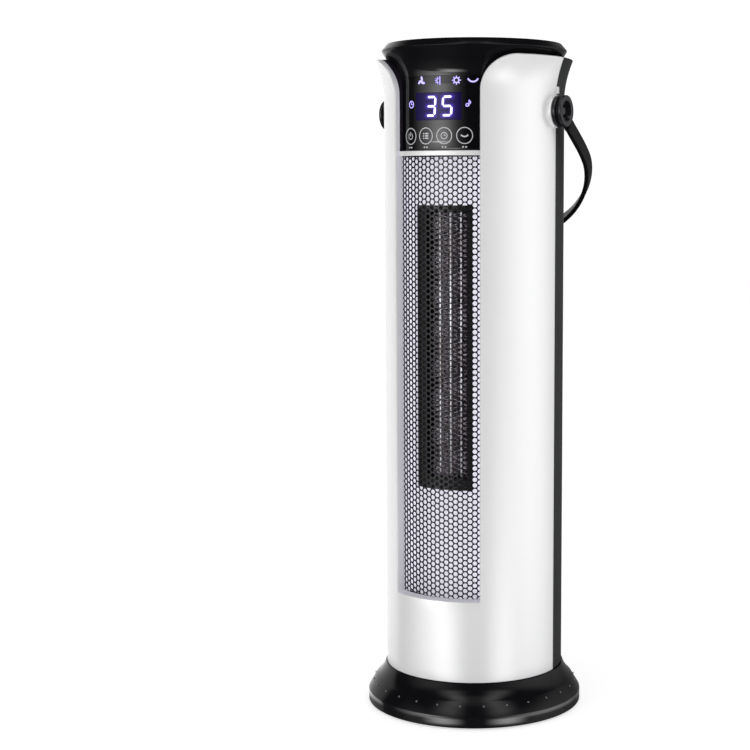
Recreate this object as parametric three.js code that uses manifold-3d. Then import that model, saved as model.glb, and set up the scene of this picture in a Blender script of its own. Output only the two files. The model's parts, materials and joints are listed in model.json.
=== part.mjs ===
// Tower fan heater with a swivelling body, a cross-flow blower, a ceramic heating core and a bail handle.
// Units are millimetres. +Z is up, the outlet faces -Y and the handle hangs on the +Y side.
// The origin is the centre of the foot pad's underside.
import * as THREE from 'three';
import { mergeVertices } from 'three/addons/utils/BufferGeometryUtils.js';
import Module from 'manifold-3d';

const wasm = await Module();
wasm.setup();

// Driving dimensions.
const HEIGHT = 600;
const GAP = 0.3;
const FINE = 40;
const COARSE = 16;
const SMALL = 10;

// Shell: two half cylinders that flare at the top.
const BODY_R = 81;
const WALL = 2.6;
const SHELL_BOTTOM = 36.8;
const SHELL_TOP = 585.5;
const FLARE_START = 552;
const FLARE_OUT = 7.5;

// Outlet opening in the front shell, in degrees from the front and millimetres of height.
const OPENING_HALF = 31.5;
const OPENING_BOTTOM = 109.5;
const LAPEL_START = 556;
const LAPEL_HALF = 54;

// Curved front face behind the opening: the panel, the grille in front of it and the proud strip.
const FACE_R = 72.5;
const GRILLE_R = 73.6;
const STRIP_R = 76.3;
const FACE_HALF = 33.5;
const GRILLE_BOTTOM = 108;
const STRIP_BOTTOM = 500.4;
const STRIP_TOP = 504.6;
const PANEL_HALF = 60;
const CAP_BOTTOM = 568.4;

// Heating core and its window.
const BACKING_R = 63.5;
const BACKING_HALF = 42;
const WINDOW_HALF = 26.2;
const WINDOW_BOTTOM = 206;
const WINDOW_TOP = 457.5;
const FRAME_FRONT = -52.8;
const CORE_FRONT = -45;
const CORE_BACK = -28;
const CORE_BOTTOM = 215;
const CORE_TOP = 452;
const CORE_HALF = 20;
const BAR_COUNT = 3;
const BAR_WIDTH = 2.6;

// Blower.
const WHEEL_Y = 14;
const WHEEL_R = 30;
const WHEEL_BOTTOM = 212;
const WHEEL_TOP = 450;
const BLADES = 16;
const SHAFT_R = 3;

// Base and turntable.
const BASE_R = 98.3;
const BASE_BAND = 10.7;
const BASE_TOP = 36.2;
const DECK_Z = 34.9;
const POST_R = 14;
const TURNTABLE_BOTTOM = 37.2;
const TURNTABLE_TOP = 39.7;
const CORD_Z = 10.4;
const PLUNGER_Y = -60;

// Swivel drive: a fixed gear on the post and a pinion under the tower.
const MODULE = 1.25;
const FIXED_TEETH = 42;
const PINION_TEETH = 14;
const PINION_Y = MODULE * (FIXED_TEETH + PINION_TEETH) / 2;

// Handle: a U-shaped strap on two pivots.
const PIVOT_Z = 539.4;
const BOSS_R = 14.6;
const BOSS_FACE = 82.5;
const HUB_R = 13.8;
const HUB_FACE = 92;
const STUD_R = 5.4;
const EYE_IN = 86.5;
const EYE_OUT = 88.9;
const STRAP_WIDTH = 13.2;
const STRAP_THICK = 4.1;
const STRAP_HALF_SPAN = 93.9;
const STRAP_ARM = 55.5;
const STRAP_START = 0.28;
const STRAP_LENGTH = 148.3;
const STRAP_ROUND = 1.71;
const STRAP_ANGLE = 42.5;

// Rear switch.
const SWITCH_Z = 75;
const ROCKER_Y = BODY_R - 1.6;

const rad = THREE.MathUtils.degToRad;

const white = finish('#f4f4f6', 0.28);
const offWhite = finish('#e9e8ef', 0.4);
const glossBlack = finish('#0b0b0c', 0.12);
const mattBlack = finish('#262627', 0.55);
const panelBlack = finish('#050507', 0.06);
const rubber = finish('#151515', 0.9);
const steel = finish('#9b9da0', 0.38, 0.9);
const aluminium = finish('#8d8a90', 0.45, 0.85);
const ceramic = finish('#c9c2b8', 0.6);
const nylon = finish('#dedbd2', 0.5);
const circuit = finish('#1d5a3a', 0.5);
const blueGlow = finish('#3a2bd0', 0.3);
const brass = finish('#b08d57', 0.35, 0.8);

const heater = new THREE.Group();

function finish(color, roughness, metalness = 0) {
  return new THREE.MeshStandardMaterial({ color, roughness, metalness });
}

// A closed geometry as a solid whose faces point out.
function solid(geometry) {
  const bare = geometry.index ? geometry.toNonIndexed() : geometry.clone();
  bare.deleteAttribute('normal');
  bare.deleteAttribute('uv');
  const merged = mergeVertices(bare, 1e-4);
  const points = merged.attributes.position.array;
  const faces = [];
  for (let i = 0; i < merged.index.count; i += 3) {
    const [a, b, c] = merged.index.array.slice(i, i + 3);
    if (a !== b && b !== c && c !== a) faces.push(a, b, c);
  }
  if (signedVolume(points, faces) < 0) faces.reverse();
  return new wasm.Manifold(new wasm.Mesh({
    numProp: 3,
    vertProperties: new Float32Array(points),
    triVerts: new Uint32Array(faces),
  }));
}

function signedVolume(points, faces) {
  const [a, b, c] = [new THREE.Vector3(), new THREE.Vector3(), new THREE.Vector3()];
  let sum = 0;
  for (let i = 0; i < faces.length; i += 3) {
    a.fromArray(points, faces[i] * 3);
    b.fromArray(points, faces[i + 1] * 3);
    c.fromArray(points, faces[i + 2] * 3);
    sum += a.dot(b.cross(c));
  }
  return sum / 6;
}

function geometryOf(body) {
  const mesh = body.getMesh();
  const geometry = new THREE.BufferGeometry();
  geometry.setAttribute('position', new THREE.BufferAttribute(new Float32Array(mesh.vertProperties), 3));
  geometry.setIndex(new THREE.BufferAttribute(new Uint32Array(mesh.triVerts), 1));
  return geometry;
}

function add(name, body, material) {
  const mesh = new THREE.Mesh(geometryOf(body), material);
  mesh.name = name;
  heater.add(mesh);
}

// Bodies of revolution about +Z. The profile is a list of [radius, height] that closes on itself.
function turned(profile, segments = FINE) {
  const loop = [...profile, profile[0]].map(([r, z]) => new THREE.Vector2(r, z));
  return solid(new THREE.LatheGeometry(loop, segments).rotateX(Math.PI / 2));
}

function tube(inner, outer, bottom, top, segments = COARSE) {
  return turned([[inner, bottom], [outer, bottom], [outer, top], [inner, top]], segments);
}

function rod(radius, bottom, top, segments = COARSE) {
  const shape = new THREE.CylinderGeometry(radius, radius, top - bottom, segments).rotateX(Math.PI / 2);
  return solid(shape.translate(0, 0, (bottom + top) / 2));
}

// The same along +X or +Y.
function alongX(body) {
  return body.rotate([0, 90, 0]);
}

function alongY(body) {
  return body.rotate([-90, 0, 0]);
}

function box(x0, x1, y0, y1, z0, z1) {
  const shape = new THREE.BoxGeometry(x1 - x0, y1 - y0, z1 - z0);
  return solid(shape.translate((x0 + x1) / 2, (y0 + y1) / 2, (z0 + z1) / 2));
}

// A flat outline of [x, y] points pulled up from one height to another.
function prism(outline, bottom, top) {
  const shape = new THREE.Shape(outline.map(([x, y]) => new THREE.Vector2(x, y)));
  const pulled = new THREE.ExtrudeGeometry(shape, { depth: top - bottom, bevelEnabled: false });
  return solid(pulled.translate(0, 0, bottom));
}

// A cutter with radial walls from an outline of [degrees from the front, height].
function radialCutter(outline) {
  const near = 50;
  const far = 300;
  const shape = new THREE.Shape(outline.map(([angle, z]) => new THREE.Vector2(rad(angle), z)));
  const cutter = new THREE.ExtrudeGeometry(shape, { depth: 1, bevelEnabled: false });
  const places = cutter.attributes.position;
  for (let i = 0; i < places.count; i += 1) {
    const angle = places.getX(i);
    const r = near + places.getZ(i) * (far - near);
    places.setXYZ(i, r * Math.sin(angle), -r * Math.cos(angle), places.getY(i));
  }
  return solid(cutter);
}

function sector(half, bottom, top) {
  return radialCutter([[-half, bottom], [half, bottom], [half, top], [-half, top]]);
}

// A strip of the curved front face.
function faceStrip(inner, outer, half, bottom, top) {
  return tube(inner, outer, bottom, top, FINE).intersect(sector(half, bottom - 1, top + 1));
}

function shellRadius(z) {
  const rise = Math.max(0, (z - FLARE_START) / (SHELL_TOP - FLARE_START));
  return BODY_R + FLARE_OUT * rise ** 1.8;
}

function shellRing() {
  const heights = [SHELL_BOTTOM, FLARE_START];
  for (let i = 1; i <= 6; i += 1) {
    heights.push(FLARE_START + (SHELL_TOP - FLARE_START) * i / 6);
  }
  const outside = heights.map((z) => [shellRadius(z), z]);
  const inside = heights.map((z) => [shellRadius(z) - WALL, z]).reverse();
  let ring = turned([...outside, ...inside]);
  for (const side of [-1, 1]) {
    const boss = alongX(rod(BOSS_R, 77, BOSS_FACE)).translate([0, 0, PIVOT_Z]);
    const bore = alongX(rod(STUD_R + GAP, 70, BOSS_FACE + 1)).translate([0, 0, PIVOT_Z]);
    ring = ring.add(boss.scale([side, 1, 1])).subtract(bore.scale([side, 1, 1]));
  }
  return ring;
}

function openingOutline() {
  const right = [];
  for (let i = 0; i <= 8; i += 1) {
    const turn = (Math.PI / 2) * i / 8;
    const angle = LAPEL_HALF - (LAPEL_HALF - OPENING_HALF) * Math.cos(turn);
    right.push([angle, LAPEL_START + (SHELL_TOP - LAPEL_START) * Math.sin(turn)]);
  }
  right.push([LAPEL_HALF, HEIGHT + 20]);
  const left = right.map(([angle, z]) => [-angle, z]).reverse();
  return [[-OPENING_HALF, OPENING_BOTTOM], [OPENING_HALF, OPENING_BOTTOM], ...right, ...left];
}

function frontShell() {
  const rearHalf = box(-120, 120, -GAP / 2, 120, 0, HEIGHT);
  return shellRing().subtract(rearHalf).subtract(radialCutter(openingOutline()));
}

// Vertical intake slots in two tiers, a switch cut-out and four screw holes.
function rearShell() {
  const frontHalf = box(-120, 120, -120, GAP / 2, 0, HEIGHT);
  let shell = shellRing().subtract(frontHalf);
  const slot = box(-1.6, 1.6, 70, 95, 0, 110);
  for (let i = -6; i <= 6; i += 1) {
    for (const bottom of [215, 340]) {
      shell = shell.subtract(slot.rotate([0, 0, i * 5.5]).translate([0, 0, bottom]));
    }
  }
  shell = shell.subtract(box(-11, 11, 60, 95, SWITCH_Z - 15, SWITCH_Z + 15));
  for (const place of shellScrewPlaces()) {
    shell = shell.subtract(radial(rod(1.9, 60, 95, SMALL), place));
  }
  return shell;
}

function shellScrewPlaces() {
  const places = [];
  for (const turn of [-48, 48]) {
    for (const z of [120, 515]) places.push({ turn, z });
  }
  return places;
}

// Lays a body made along +Z on a line from the axis towards the rear, turned by some degrees.
function radial(body, { turn, z }) {
  return alongY(body).rotate([0, 0, turn]).translate([0, 0, z]);
}

function topCap() {
  return turned([
    [0, HEIGHT - 1.5], [74.5, HEIGHT - 1.5], [76, HEIGHT], [78.3, HEIGHT],
    [82.8, HEIGHT - 5], [83.2, HEIGHT - 6.5], [77, HEIGHT - 16.4], [73.8, HEIGHT - 25],
    [FACE_R, CAP_BOTTOM], [FACE_R - 2.4, CAP_BOTTOM], [74.2, HEIGHT - 16.4], [79, HEIGHT - 6],
    [0, HEIGHT - 6],
  ]);
}

function outletBezel() {
  const bottom = OPENING_BOTTOM - 5;
  const ring = faceStrip(GRILLE_R + GAP, BODY_R - WALL - GAP, OPENING_HALF + 4, bottom, LAPEL_START);
  return ring.subtract(sector(OPENING_HALF - 0.5, OPENING_BOTTOM + 1.5, LAPEL_START + 2));
}

// White plate close behind the grille, with a window for the heating core.
function ductFront() {
  const plate = faceStrip(BACKING_R - 1.5, BACKING_R, BACKING_HALF, GRILLE_BOTTOM, STRIP_BOTTOM - 1);
  return plate.subtract(sector(WINDOW_HALF, WINDOW_BOTTOM, WINDOW_TOP));
}

function coreFrame() {
  const outer = box(-30.2, 30.2, FRAME_FRONT, -22, WINDOW_BOTTOM - 2, WINDOW_TOP + 2);
  const hole = CORE_HALF + GAP;
  return outer.subtract(box(-hole, hole, -60, -10, CORE_BOTTOM - GAP, CORE_TOP + GAP));
}

// Aluminium fin stacks with a heating bar between each two.
function addCore() {
  const stacks = BAR_COUNT + 1;
  const stackWidth = (2 * CORE_HALF - BAR_COUNT * BAR_WIDTH) / stacks;
  let x = -CORE_HALF;
  for (let i = 1; i <= stacks; i += 1) {
    const stack = box(x, x + stackWidth - GAP, CORE_FRONT + 0.6, CORE_BACK, CORE_BOTTOM, CORE_TOP);
    add(`fin_stack_${i}`, stack, aluminium);
    x += stackWidth;
    if (i <= BAR_COUNT) {
      const bar = box(x, x + BAR_WIDTH - GAP, CORE_FRONT, CORE_BACK, CORE_BOTTOM, CORE_TOP);
      add(`heating_bar_${i}`, bar, ceramic);
      x += BAR_WIDTH;
    }
  }
}

function blowerWheel() {
  const bladeIn = 23;
  const blade = box(-0.7, 0.7, bladeIn, WHEEL_R - 1, WHEEL_BOTTOM + 1, WHEEL_TOP - 1);
  const middle = (WHEEL_BOTTOM + WHEEL_TOP) / 2;
  let wheel = tube(bladeIn - 1, WHEEL_R, middle - 1, middle + 1);
  for (let i = 0; i < BLADES; i += 1) {
    wheel = wheel.add(blade.rotate([0, 0, i * 360 / BLADES]));
  }
  for (const z of [WHEEL_BOTTOM, WHEEL_TOP - 2]) {
    wheel = wheel.add(tube(SHAFT_R + GAP, WHEEL_R, z, z + 2));
  }
  return wheel.translate([0, WHEEL_Y, 0]);
}

// A wall of even thickness along an open line of [x, y] points.
function wall(line, thickness, bottom, top) {
  const points = line.map(([x, y]) => new THREE.Vector2(x, y));
  const near = [];
  const far = [];
  points.forEach((point, i) => {
    const before = points[Math.max(0, i - 1)];
    const after = points[Math.min(points.length - 1, i + 1)];
    const along = after.clone().sub(before).normalize();
    near.push([point.x - along.y * thickness / 2, point.y + along.x * thickness / 2]);
    far.unshift([point.x + along.y * thickness / 2, point.y - along.x * thickness / 2]);
  });
  return prism([...near, ...far], bottom, top);
}

function blowerScroll() {
  const bottom = WHEEL_BOTTOM - 7;
  const top = WHEEL_TOP + 9;
  const volute = [[25, -20.5], [31, -8], [35, 4], [37, 20], [37, 40]];
  const tongue = [[-25, -20.5], [-29, -10], [-33.5, 4], [-34, 12]];
  let scroll = wall(volute, 2, bottom, top).add(wall(tongue, 2, bottom, top));
  for (const z of [bottom, top - 3]) scroll = scroll.add(box(-40, 40, -20.5, 44, z, z + 3));
  const bushHole = rod(8, top - 5, top + 2).translate([0, WHEEL_Y, 0]);
  const shaftHole = rod(6, bottom - 2, bottom + 5).translate([0, WHEEL_Y, 0]);
  return scroll.subtract(bushHole).subtract(shaftHole);
}

function blowerMotor() {
  const can = rod(28, 150, 195).add(tube(SHAFT_R + 1, 9, 194, 201));
  const ears = box(-36, 36, -7, 7, 193, 196);
  return can.add(ears).subtract(rod(SHAFT_R + GAP, 180, 210)).translate([0, WHEEL_Y, 0]);
}

// Spur gear outline with involute flanks.
function gearOutline(teeth, phase) {
  const pressure = rad(20);
  const pitch = MODULE * teeth / 2;
  const baseR = pitch * Math.cos(pressure);
  const tip = pitch + 0.8 * MODULE;
  const root = pitch - 1.1 * MODULE;
  const involute = (r) => {
    const roll = Math.sqrt(Math.max(0, (r / baseR) ** 2 - 1));
    return roll - Math.atan(roll);
  };
  const slack = 0.16;
  const halfPitch = Math.PI / (2 * teeth) - slack / (2 * pitch);
  const start = Math.max(baseR, root);
  const outline = [];
  for (let tooth = 0; tooth < teeth; tooth += 1) {
    const middle = phase + tooth * 2 * Math.PI / teeth;
    const flank = [[root, halfPitch + involute(pitch)]];
    for (let i = 0; i <= 2; i += 1) {
      const r = start + (tip - start) * i / 2;
      flank.push([r, halfPitch + involute(pitch) - involute(r)]);
    }
    const rising = flank.map(([r, half]) => [r, middle - half]);
    const falling = flank.map(([r, half]) => [r, middle + half]).reverse();
    outline.push(...rising, ...falling);
  }
  return outline.map(([r, angle]) => [r * Math.cos(angle), r * Math.sin(angle)]);
}

function fixedGear() {
  const gear = prism(gearOutline(FIXED_TEETH, Math.PI / 2), 8.3, 14.3);
  return gear.subtract(rod(POST_R + GAP, 7, 16));
}

function drivePinion() {
  const phase = -Math.PI / 2 + Math.PI / PINION_TEETH;
  const gear = prism(gearOutline(PINION_TEETH, phase), 8.6, 14);
  return gear.add(rod(2.5, 13, 20)).translate([0, PINION_Y, 0]);
}

function swivelMotor() {
  const can = rod(14, 17, TURNTABLE_BOTTOM - GAP).subtract(rod(2.8, 16, 21));
  return can.translate([0, PINION_Y, 0]);
}

function turntable() {
  return turned([
    [POST_R + 0.35, 15.5], [18, 15.5], [18, TURNTABLE_BOTTOM], [76, TURNTABLE_BOTTOM],
    [76, TURNTABLE_TOP], [POST_R + 0.35, TURNTABLE_TOP],
  ]);
}

function pivotPost() {
  return turned([[9, 5.1], [24, 5.1], [24, 8], [POST_R, 8], [POST_R, 43.8], [9, 43.8]], COARSE);
}

// The base cover: a straight band, then a convex and a concave curve up to the deck.
function baseCover() {
  const convex = new THREE.QuadraticBezierCurve(
    new THREE.Vector2(BASE_R, BASE_BAND), new THREE.Vector2(97.6, 18), new THREE.Vector2(90.5, 22.9),
  );
  const concave = new THREE.QuadraticBezierCurve(
    new THREE.Vector2(90.5, 22.9), new THREE.Vector2(84.6, 27), new THREE.Vector2(82.2, BASE_TOP),
  );
  const curved = [...convex.getPoints(4), ...concave.getPoints(4).slice(1)].map((p) => [p.x, p.y]);
  let cover = turned([
    [BASE_R - 2.5, 0.8], [BASE_R, 0.8], ...curved,
    [76.3, BASE_TOP], [76.3, DECK_Z], [62, DECK_Z], [62, DECK_Z - 2.5], [79.6, DECK_Z - 2.5],
    [88.9, 20.7], [BASE_R - 2.8, BASE_BAND],
  ]);
  for (const [x, y] of basePostPlaces()) {
    cover = cover.add(rod(4.5, 5.1, 23, SMALL).translate([x, y, 0]));
    cover = cover.subtract(rod(1.9, 0, 16, SMALL).translate([x, y, 0]));
  }
  return cover.subtract(alongY(rod(4.9, 80, 110)).translate([0, 0, CORD_Z]));
}

function basePostPlaces() {
  const reach = 86;
  return [45, 135, 225, 315].map((turn) => [reach * Math.cos(rad(turn)), reach * Math.sin(rad(turn))]);
}

function drilled(plate, radius) {
  let result = plate;
  for (const [x, y] of basePostPlaces()) {
    result = result.subtract(rod(radius, -5, 12, SMALL).translate([x, y, 0]));
  }
  return result;
}

function baseScrew(x, y) {
  return rod(3.4, 0.7, 2.5, SMALL).add(rod(1.6, 2.4, 14, SMALL)).translate([x, y, 0]);
}

function cordGland() {
  const sleeve = tube(3.2, 4.6, 90, 101).add(tube(3.2, 6.2, 98.7, 101));
  return alongY(sleeve).translate([0, 0, CORD_Z]);
}

function tipSwitch() {
  const body = box(-8, 8, PLUNGER_Y - 8, PLUNGER_Y + 8, 5.1, 25);
  return body.subtract(rod(3.4, 0, 20).translate([0, PLUNGER_Y, 0]));
}

function tipPlunger() {
  return rod(4.2, 0.2, 2.6).add(rod(3, 2.5, 18)).translate([0, PLUNGER_Y, 0]);
}

function rearSwitchHousing() {
  const bezel = box(-12.5, 12.5, BODY_R + GAP, BODY_R + 2, SWITCH_Z - 16.5, SWITCH_Z + 16.5);
  const body = box(-10.6, 10.6, 62, BODY_R + 1, SWITCH_Z - 14.6, SWITCH_Z + 14.6);
  return bezel.add(body).subtract(box(-8.4, 8.4, 70, 90, SWITCH_Z - 12.4, SWITCH_Z + 12.4));
}

// A rocker with two faces that meet at a shallow angle, resting with its upper end pressed in.
function powerRocker() {
  const tilt = 10;
  const side = [[-10.5, -3], [10.5, -3], [11, 3.6], [0, 1.8], [-11, 3.6]];
  return alongX(prism(side, -8, 8)).rotate([tilt, 0, 0]).translate([0, ROCKER_Y, SWITCH_Z]);
}

// Half of the strap's centre line as [distance from the mid-plane, distance from the pivot axis].
function strapLine() {
  const hub = (EYE_IN + EYE_OUT) / 2;
  const line = [];
  for (let i = 0; i < 6; i += 1) {
    const share = STRAP_START + (1 - STRAP_START) * i / 6;
    const swell = 0.5 - 0.5 * Math.cos(Math.PI * share);
    line.push([hub + (STRAP_HALF_SPAN - hub) * swell, STRAP_ARM * share]);
  }
  for (let i = 0; i <= 14; i += 1) {
    const turn = (Math.PI / 2) * i / 14;
    const across = Math.cos(turn) ** (2 / STRAP_ROUND);
    const along = Math.sin(turn) ** (2 / STRAP_ROUND);
    line.push([STRAP_HALF_SPAN * across, STRAP_ARM + (STRAP_LENGTH - STRAP_ARM) * along]);
  }
  return line;
}

function handleStrap() {
  const right = strapLine();
  const left = right.slice(0, -1).map(([x, r]) => [-x, r]).reverse();
  const half = STRAP_WIDTH / 2;
  let strap = wall([...right, ...left].map(([x, r]) => [x, -r]), STRAP_THICK, -half, half);
  for (const side of [-1, 1]) {
    const eye = alongX(rod(12.6, EYE_IN, EYE_OUT)).add(box(EYE_IN, EYE_OUT, -18, 0, -half, half));
    strap = strap.add(eye.scale([side, 1, 1]));
    strap = strap.subtract(alongX(rod(STUD_R + 0.4, 80, 95)).scale([side, 1, 1]));
  }
  return strap.rotate([90 + STRAP_ANGLE, 0, 0]).translate([0, 0, PIVOT_Z]);
}

function pivotStud(side) {
  const flange = tube(0.01, HUB_R, BOSS_FACE + GAP, EYE_IN - GAP);
  const stud = rod(STUD_R, 72, HUB_FACE - 1.4);
  return alongX(flange.add(stud)).scale([side, 1, 1]).translate([0, 0, PIVOT_Z]);
}

function hubCap(side) {
  const bore = STUD_R + GAP;
  const cap = turned([
    [bore, EYE_OUT + GAP], [HUB_R, EYE_OUT + GAP], [HUB_R, HUB_FACE - 0.8], [HUB_R - 0.8, HUB_FACE],
    [8.5, HUB_FACE], [8, HUB_FACE - 1.6], [bore, HUB_FACE - 1.6],
  ], COARSE);
  return alongX(cap).scale([side, 1, 1]).translate([0, 0, PIVOT_Z]);
}

function shellScrew(place) {
  const screw = rod(1.6, 66, BODY_R + 1, SMALL).add(rod(3.3, BODY_R + GAP, BODY_R + 2, SMALL));
  return radial(screw, place);
}

// Base, fixed to whatever the heater stands on.
const plungerHole = rod(5, -1, 8).translate([0, PLUNGER_Y, 0]);
add('foot_pad', drilled(rod(94, 0, 2.5, FINE), 4.1).subtract(plungerHole), rubber);
add('base_plate', drilled(rod(95.2, 2.8, 4.8, FINE), 2).subtract(plungerHole), steel);
add('base_cover', baseCover(), glossBlack);
add('pivot_post', pivotPost(), nylon);
add('fixed_gear', fixedGear(), nylon);
add('slide_ring', tube(64, 75, DECK_Z + GAP, TURNTABLE_BOTTOM - GAP, FINE), nylon);
add('retaining_ring', tube(POST_R + GAP, 20, TURNTABLE_TOP + GAP, 42.5), steel);
add('tip_switch', tipSwitch(), mattBlack);
add('cord_gland', cordGland(), rubber);
basePostPlaces().forEach(([x, y], i) => add(`base_screw_${i + 1}`, baseScrew(x, y), steel));
add('tip_plunger', tipPlunger(), nylon);

// Tower.
add('turntable', turntable(), mattBlack);
add('swivel_motor', swivelMotor(), steel);
add('drive_pinion', drivePinion(), nylon);
add('floor_plate', tube(24, BODY_R - WALL - 0.6, 46, 48.5, FINE), mattBlack);
add('front_shell', frontShell(), white);
add('rear_shell', rearShell(), mattBlack);
add('top_cap', topCap(), glossBlack);
add('outlet_bezel', outletBezel(), offWhite);
add('trim_strip', faceStrip(FACE_R - 1.3, STRIP_R, OPENING_HALF - 0.8, STRIP_BOTTOM, STRIP_TOP), white);
add('grille', faceStrip(GRILLE_R - 0.8, GRILLE_R, FACE_HALF, GRILLE_BOTTOM, STRIP_BOTTOM - GAP), mattBlack);
add('control_panel', faceStrip(FACE_R - 2.2, FACE_R, PANEL_HALF, STRIP_TOP + GAP, CAP_BOTTOM - GAP), panelBlack);
add('display_module', box(-22, 22, -66, -60, 531, 556), blueGlow);
add('control_board', box(-30, 30, -57.6, -56, 508, 566), circuit);
add('remote_receiver', box(-3.5, 3.5, -64, -58, 521, 527), panelBlack);
add('duct_front', ductFront(), offWhite);
add('core_frame', coreFrame(), mattBlack);
addCore();
add('thermal_cutout', rod(8, WINDOW_TOP + 2.4, WINDOW_TOP + 8).translate([0, -40, 0]), brass);
add('blower_scroll', blowerScroll(), mattBlack);
add('blower_motor', blowerMotor(), steel);
add('blower_bush', tube(SHAFT_R + GAP, 7.6, WHEEL_TOP + 5, WHEEL_TOP + 11).translate([0, WHEEL_Y, 0]), brass);
add('blower_shaft', rod(SHAFT_R, 184, WHEEL_TOP + 12).translate([0, WHEEL_Y, 0]), steel);
add('blower_wheel', blowerWheel(), aluminium);
add('power_board', box(-32, 32, 20, 21.6, 60, 140), circuit);
add('switch_housing', rearSwitchHousing(), glossBlack);
add('power_rocker', powerRocker(), glossBlack);
shellScrewPlaces().forEach((place, i) => add(`shell_screw_${i + 1}`, shellScrew(place), steel));
add('pivot_stud_left', pivotStud(-1), glossBlack);
add('pivot_stud_right', pivotStud(1), glossBlack);
add('hub_cap_left', hubCap(-1), glossBlack);
add('hub_cap_right', hubCap(1), glossBlack);

// Handle.
add('handle_strap', handleStrap(), glossBlack);

export default heater;
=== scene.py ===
"""Tower fan heater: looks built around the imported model, laid out as an add-on."""
import json
import math

import bpy
from mathutils import Matrix, Vector


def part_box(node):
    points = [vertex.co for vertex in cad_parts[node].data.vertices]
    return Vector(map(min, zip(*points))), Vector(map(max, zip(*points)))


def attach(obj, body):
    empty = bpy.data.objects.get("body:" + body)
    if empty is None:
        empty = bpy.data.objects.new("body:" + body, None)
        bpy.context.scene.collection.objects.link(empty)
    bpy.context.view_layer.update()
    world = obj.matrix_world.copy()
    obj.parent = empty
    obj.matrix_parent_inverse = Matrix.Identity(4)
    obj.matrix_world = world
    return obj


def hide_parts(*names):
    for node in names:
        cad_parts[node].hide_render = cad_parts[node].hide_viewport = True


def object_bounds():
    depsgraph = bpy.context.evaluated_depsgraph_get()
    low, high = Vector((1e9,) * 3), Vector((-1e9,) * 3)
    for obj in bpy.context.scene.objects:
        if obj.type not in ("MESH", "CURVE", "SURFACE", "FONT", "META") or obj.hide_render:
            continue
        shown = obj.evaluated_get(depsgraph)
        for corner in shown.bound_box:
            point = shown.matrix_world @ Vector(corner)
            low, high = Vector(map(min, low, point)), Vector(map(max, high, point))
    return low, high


bl_info = {
    "name": "Tower Fan Heater",
    "version": (1, 0, 0),
    "blender": (4, 5, 0),
    "location": "View3D > Sidebar > Heater",
    "description": "Builds a ceramic tower heater's shells, grille, display, base and handle",
    "category": "Add Mesh",
}

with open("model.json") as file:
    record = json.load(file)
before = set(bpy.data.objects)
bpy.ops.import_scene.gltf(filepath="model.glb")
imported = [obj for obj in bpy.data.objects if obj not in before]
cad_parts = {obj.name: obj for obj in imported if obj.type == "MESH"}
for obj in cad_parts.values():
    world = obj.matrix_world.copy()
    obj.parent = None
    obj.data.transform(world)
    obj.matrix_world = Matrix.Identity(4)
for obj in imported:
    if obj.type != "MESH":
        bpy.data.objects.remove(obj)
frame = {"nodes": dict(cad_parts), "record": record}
CAD_LOW, CAD_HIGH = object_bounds()

MM = 0.001
HEIGHT = CAD_HIGH.z / MM
TAU = 2 * math.pi


def node_box(node):
    """A frame node's lowest and highest corners in millimetres."""
    low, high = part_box(node)
    return low / MM, high / MM


# ---------------------------------------------------------------- settings


def length(name, description, default):
    """A size property in metres."""
    return bpy.props.FloatProperty(
        name=name, description=description, default=default, min=0.0, unit="LENGTH", precision=4
    )


def angle(name, description, degrees):
    """An angle property."""
    return bpy.props.FloatProperty(
        name=name, description=description, default=math.radians(degrees), unit="ROTATION"
    )


def colour(name, description, default):
    """A linear colour property."""
    return bpy.props.FloatVectorProperty(
        name=name, description=description, default=default, subtype="COLOR", size=3, min=0, max=1
    )


class HeaterSizes(bpy.types.PropertyGroup):
    """Sizes of the tower, its outlet and its handle."""

    body_radius: length("Body radius", "Radius of the straight part of the shells", 0.081)
    shell_wall: length("Shell wall", "Thickness of the two shells", 0.0026)
    flare_start: length("Flare start", "Height at which the shells start to flare", 0.552)
    flare_out: length("Flare", "How far the shells' top edge stands out", 0.0075)
    opening_half: angle("Opening", "Half angle of the outlet opening", 31.5)
    opening_bottom: length("Opening bottom", "Height of the opening's lower edge", 0.1095)
    lapel_start: length("Lapel start", "Height at which the opening starts to widen", 0.556)
    lapel_half: angle("Lapel", "Half angle of the opening at the top edge", 54)
    face_radius: length("Face radius", "Radius of the control panel", 0.0725)
    grille_radius: length("Grille radius", "Radius of the grille", 0.0736)
    strip_radius: length("Strip radius", "Radius of the trim strip over the grille", 0.0763)
    hole_pitch: length("Hole pitch", "Distance between the grille's holes in a column", 0.005)
    hole_size: length("Hole size", "Diameter of the grille's holes", 0.0041)
    strap_width: length("Strap width", "Width of the handle's strap", 0.0132)
    strap_thickness: length("Strap thickness", "Thickness of the handle's strap", 0.0041)
    strap_tilt: angle("Strap tilt", "Angle of the hanging handle from straight down", 42.5)


class HeaterColours(bpy.types.PropertyGroup):
    """Colours of the heater's finishes."""

    white: colour("White", "Front shell and trim", (0.86, 0.86, 0.86))
    inner_white: colour("Inner white", "Outlet wall and the plate behind the grille", (0.8, 0.79, 0.86))
    black: colour("Black", "Cap, base and handle", (0.005, 0.005, 0.006))
    charcoal: colour("Charcoal", "Rear shell", (0.014, 0.0145, 0.0145))
    glow: colour("Glow", "Halo round the digits", (0.16, 0.06, 1.0))
    lavender: colour("Lavender", "Lit symbols", (0.42, 0.36, 1.0))
    print_white: colour("Print", "Key rings and symbols", (0.62, 0.62, 0.64))


def sizes():
    return bpy.context.scene.heater_sizes


def colours():
    return bpy.context.scene.heater_colours


def in_mm(value):
    return value / MM


# ---------------------------------------------------------------- shading


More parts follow.
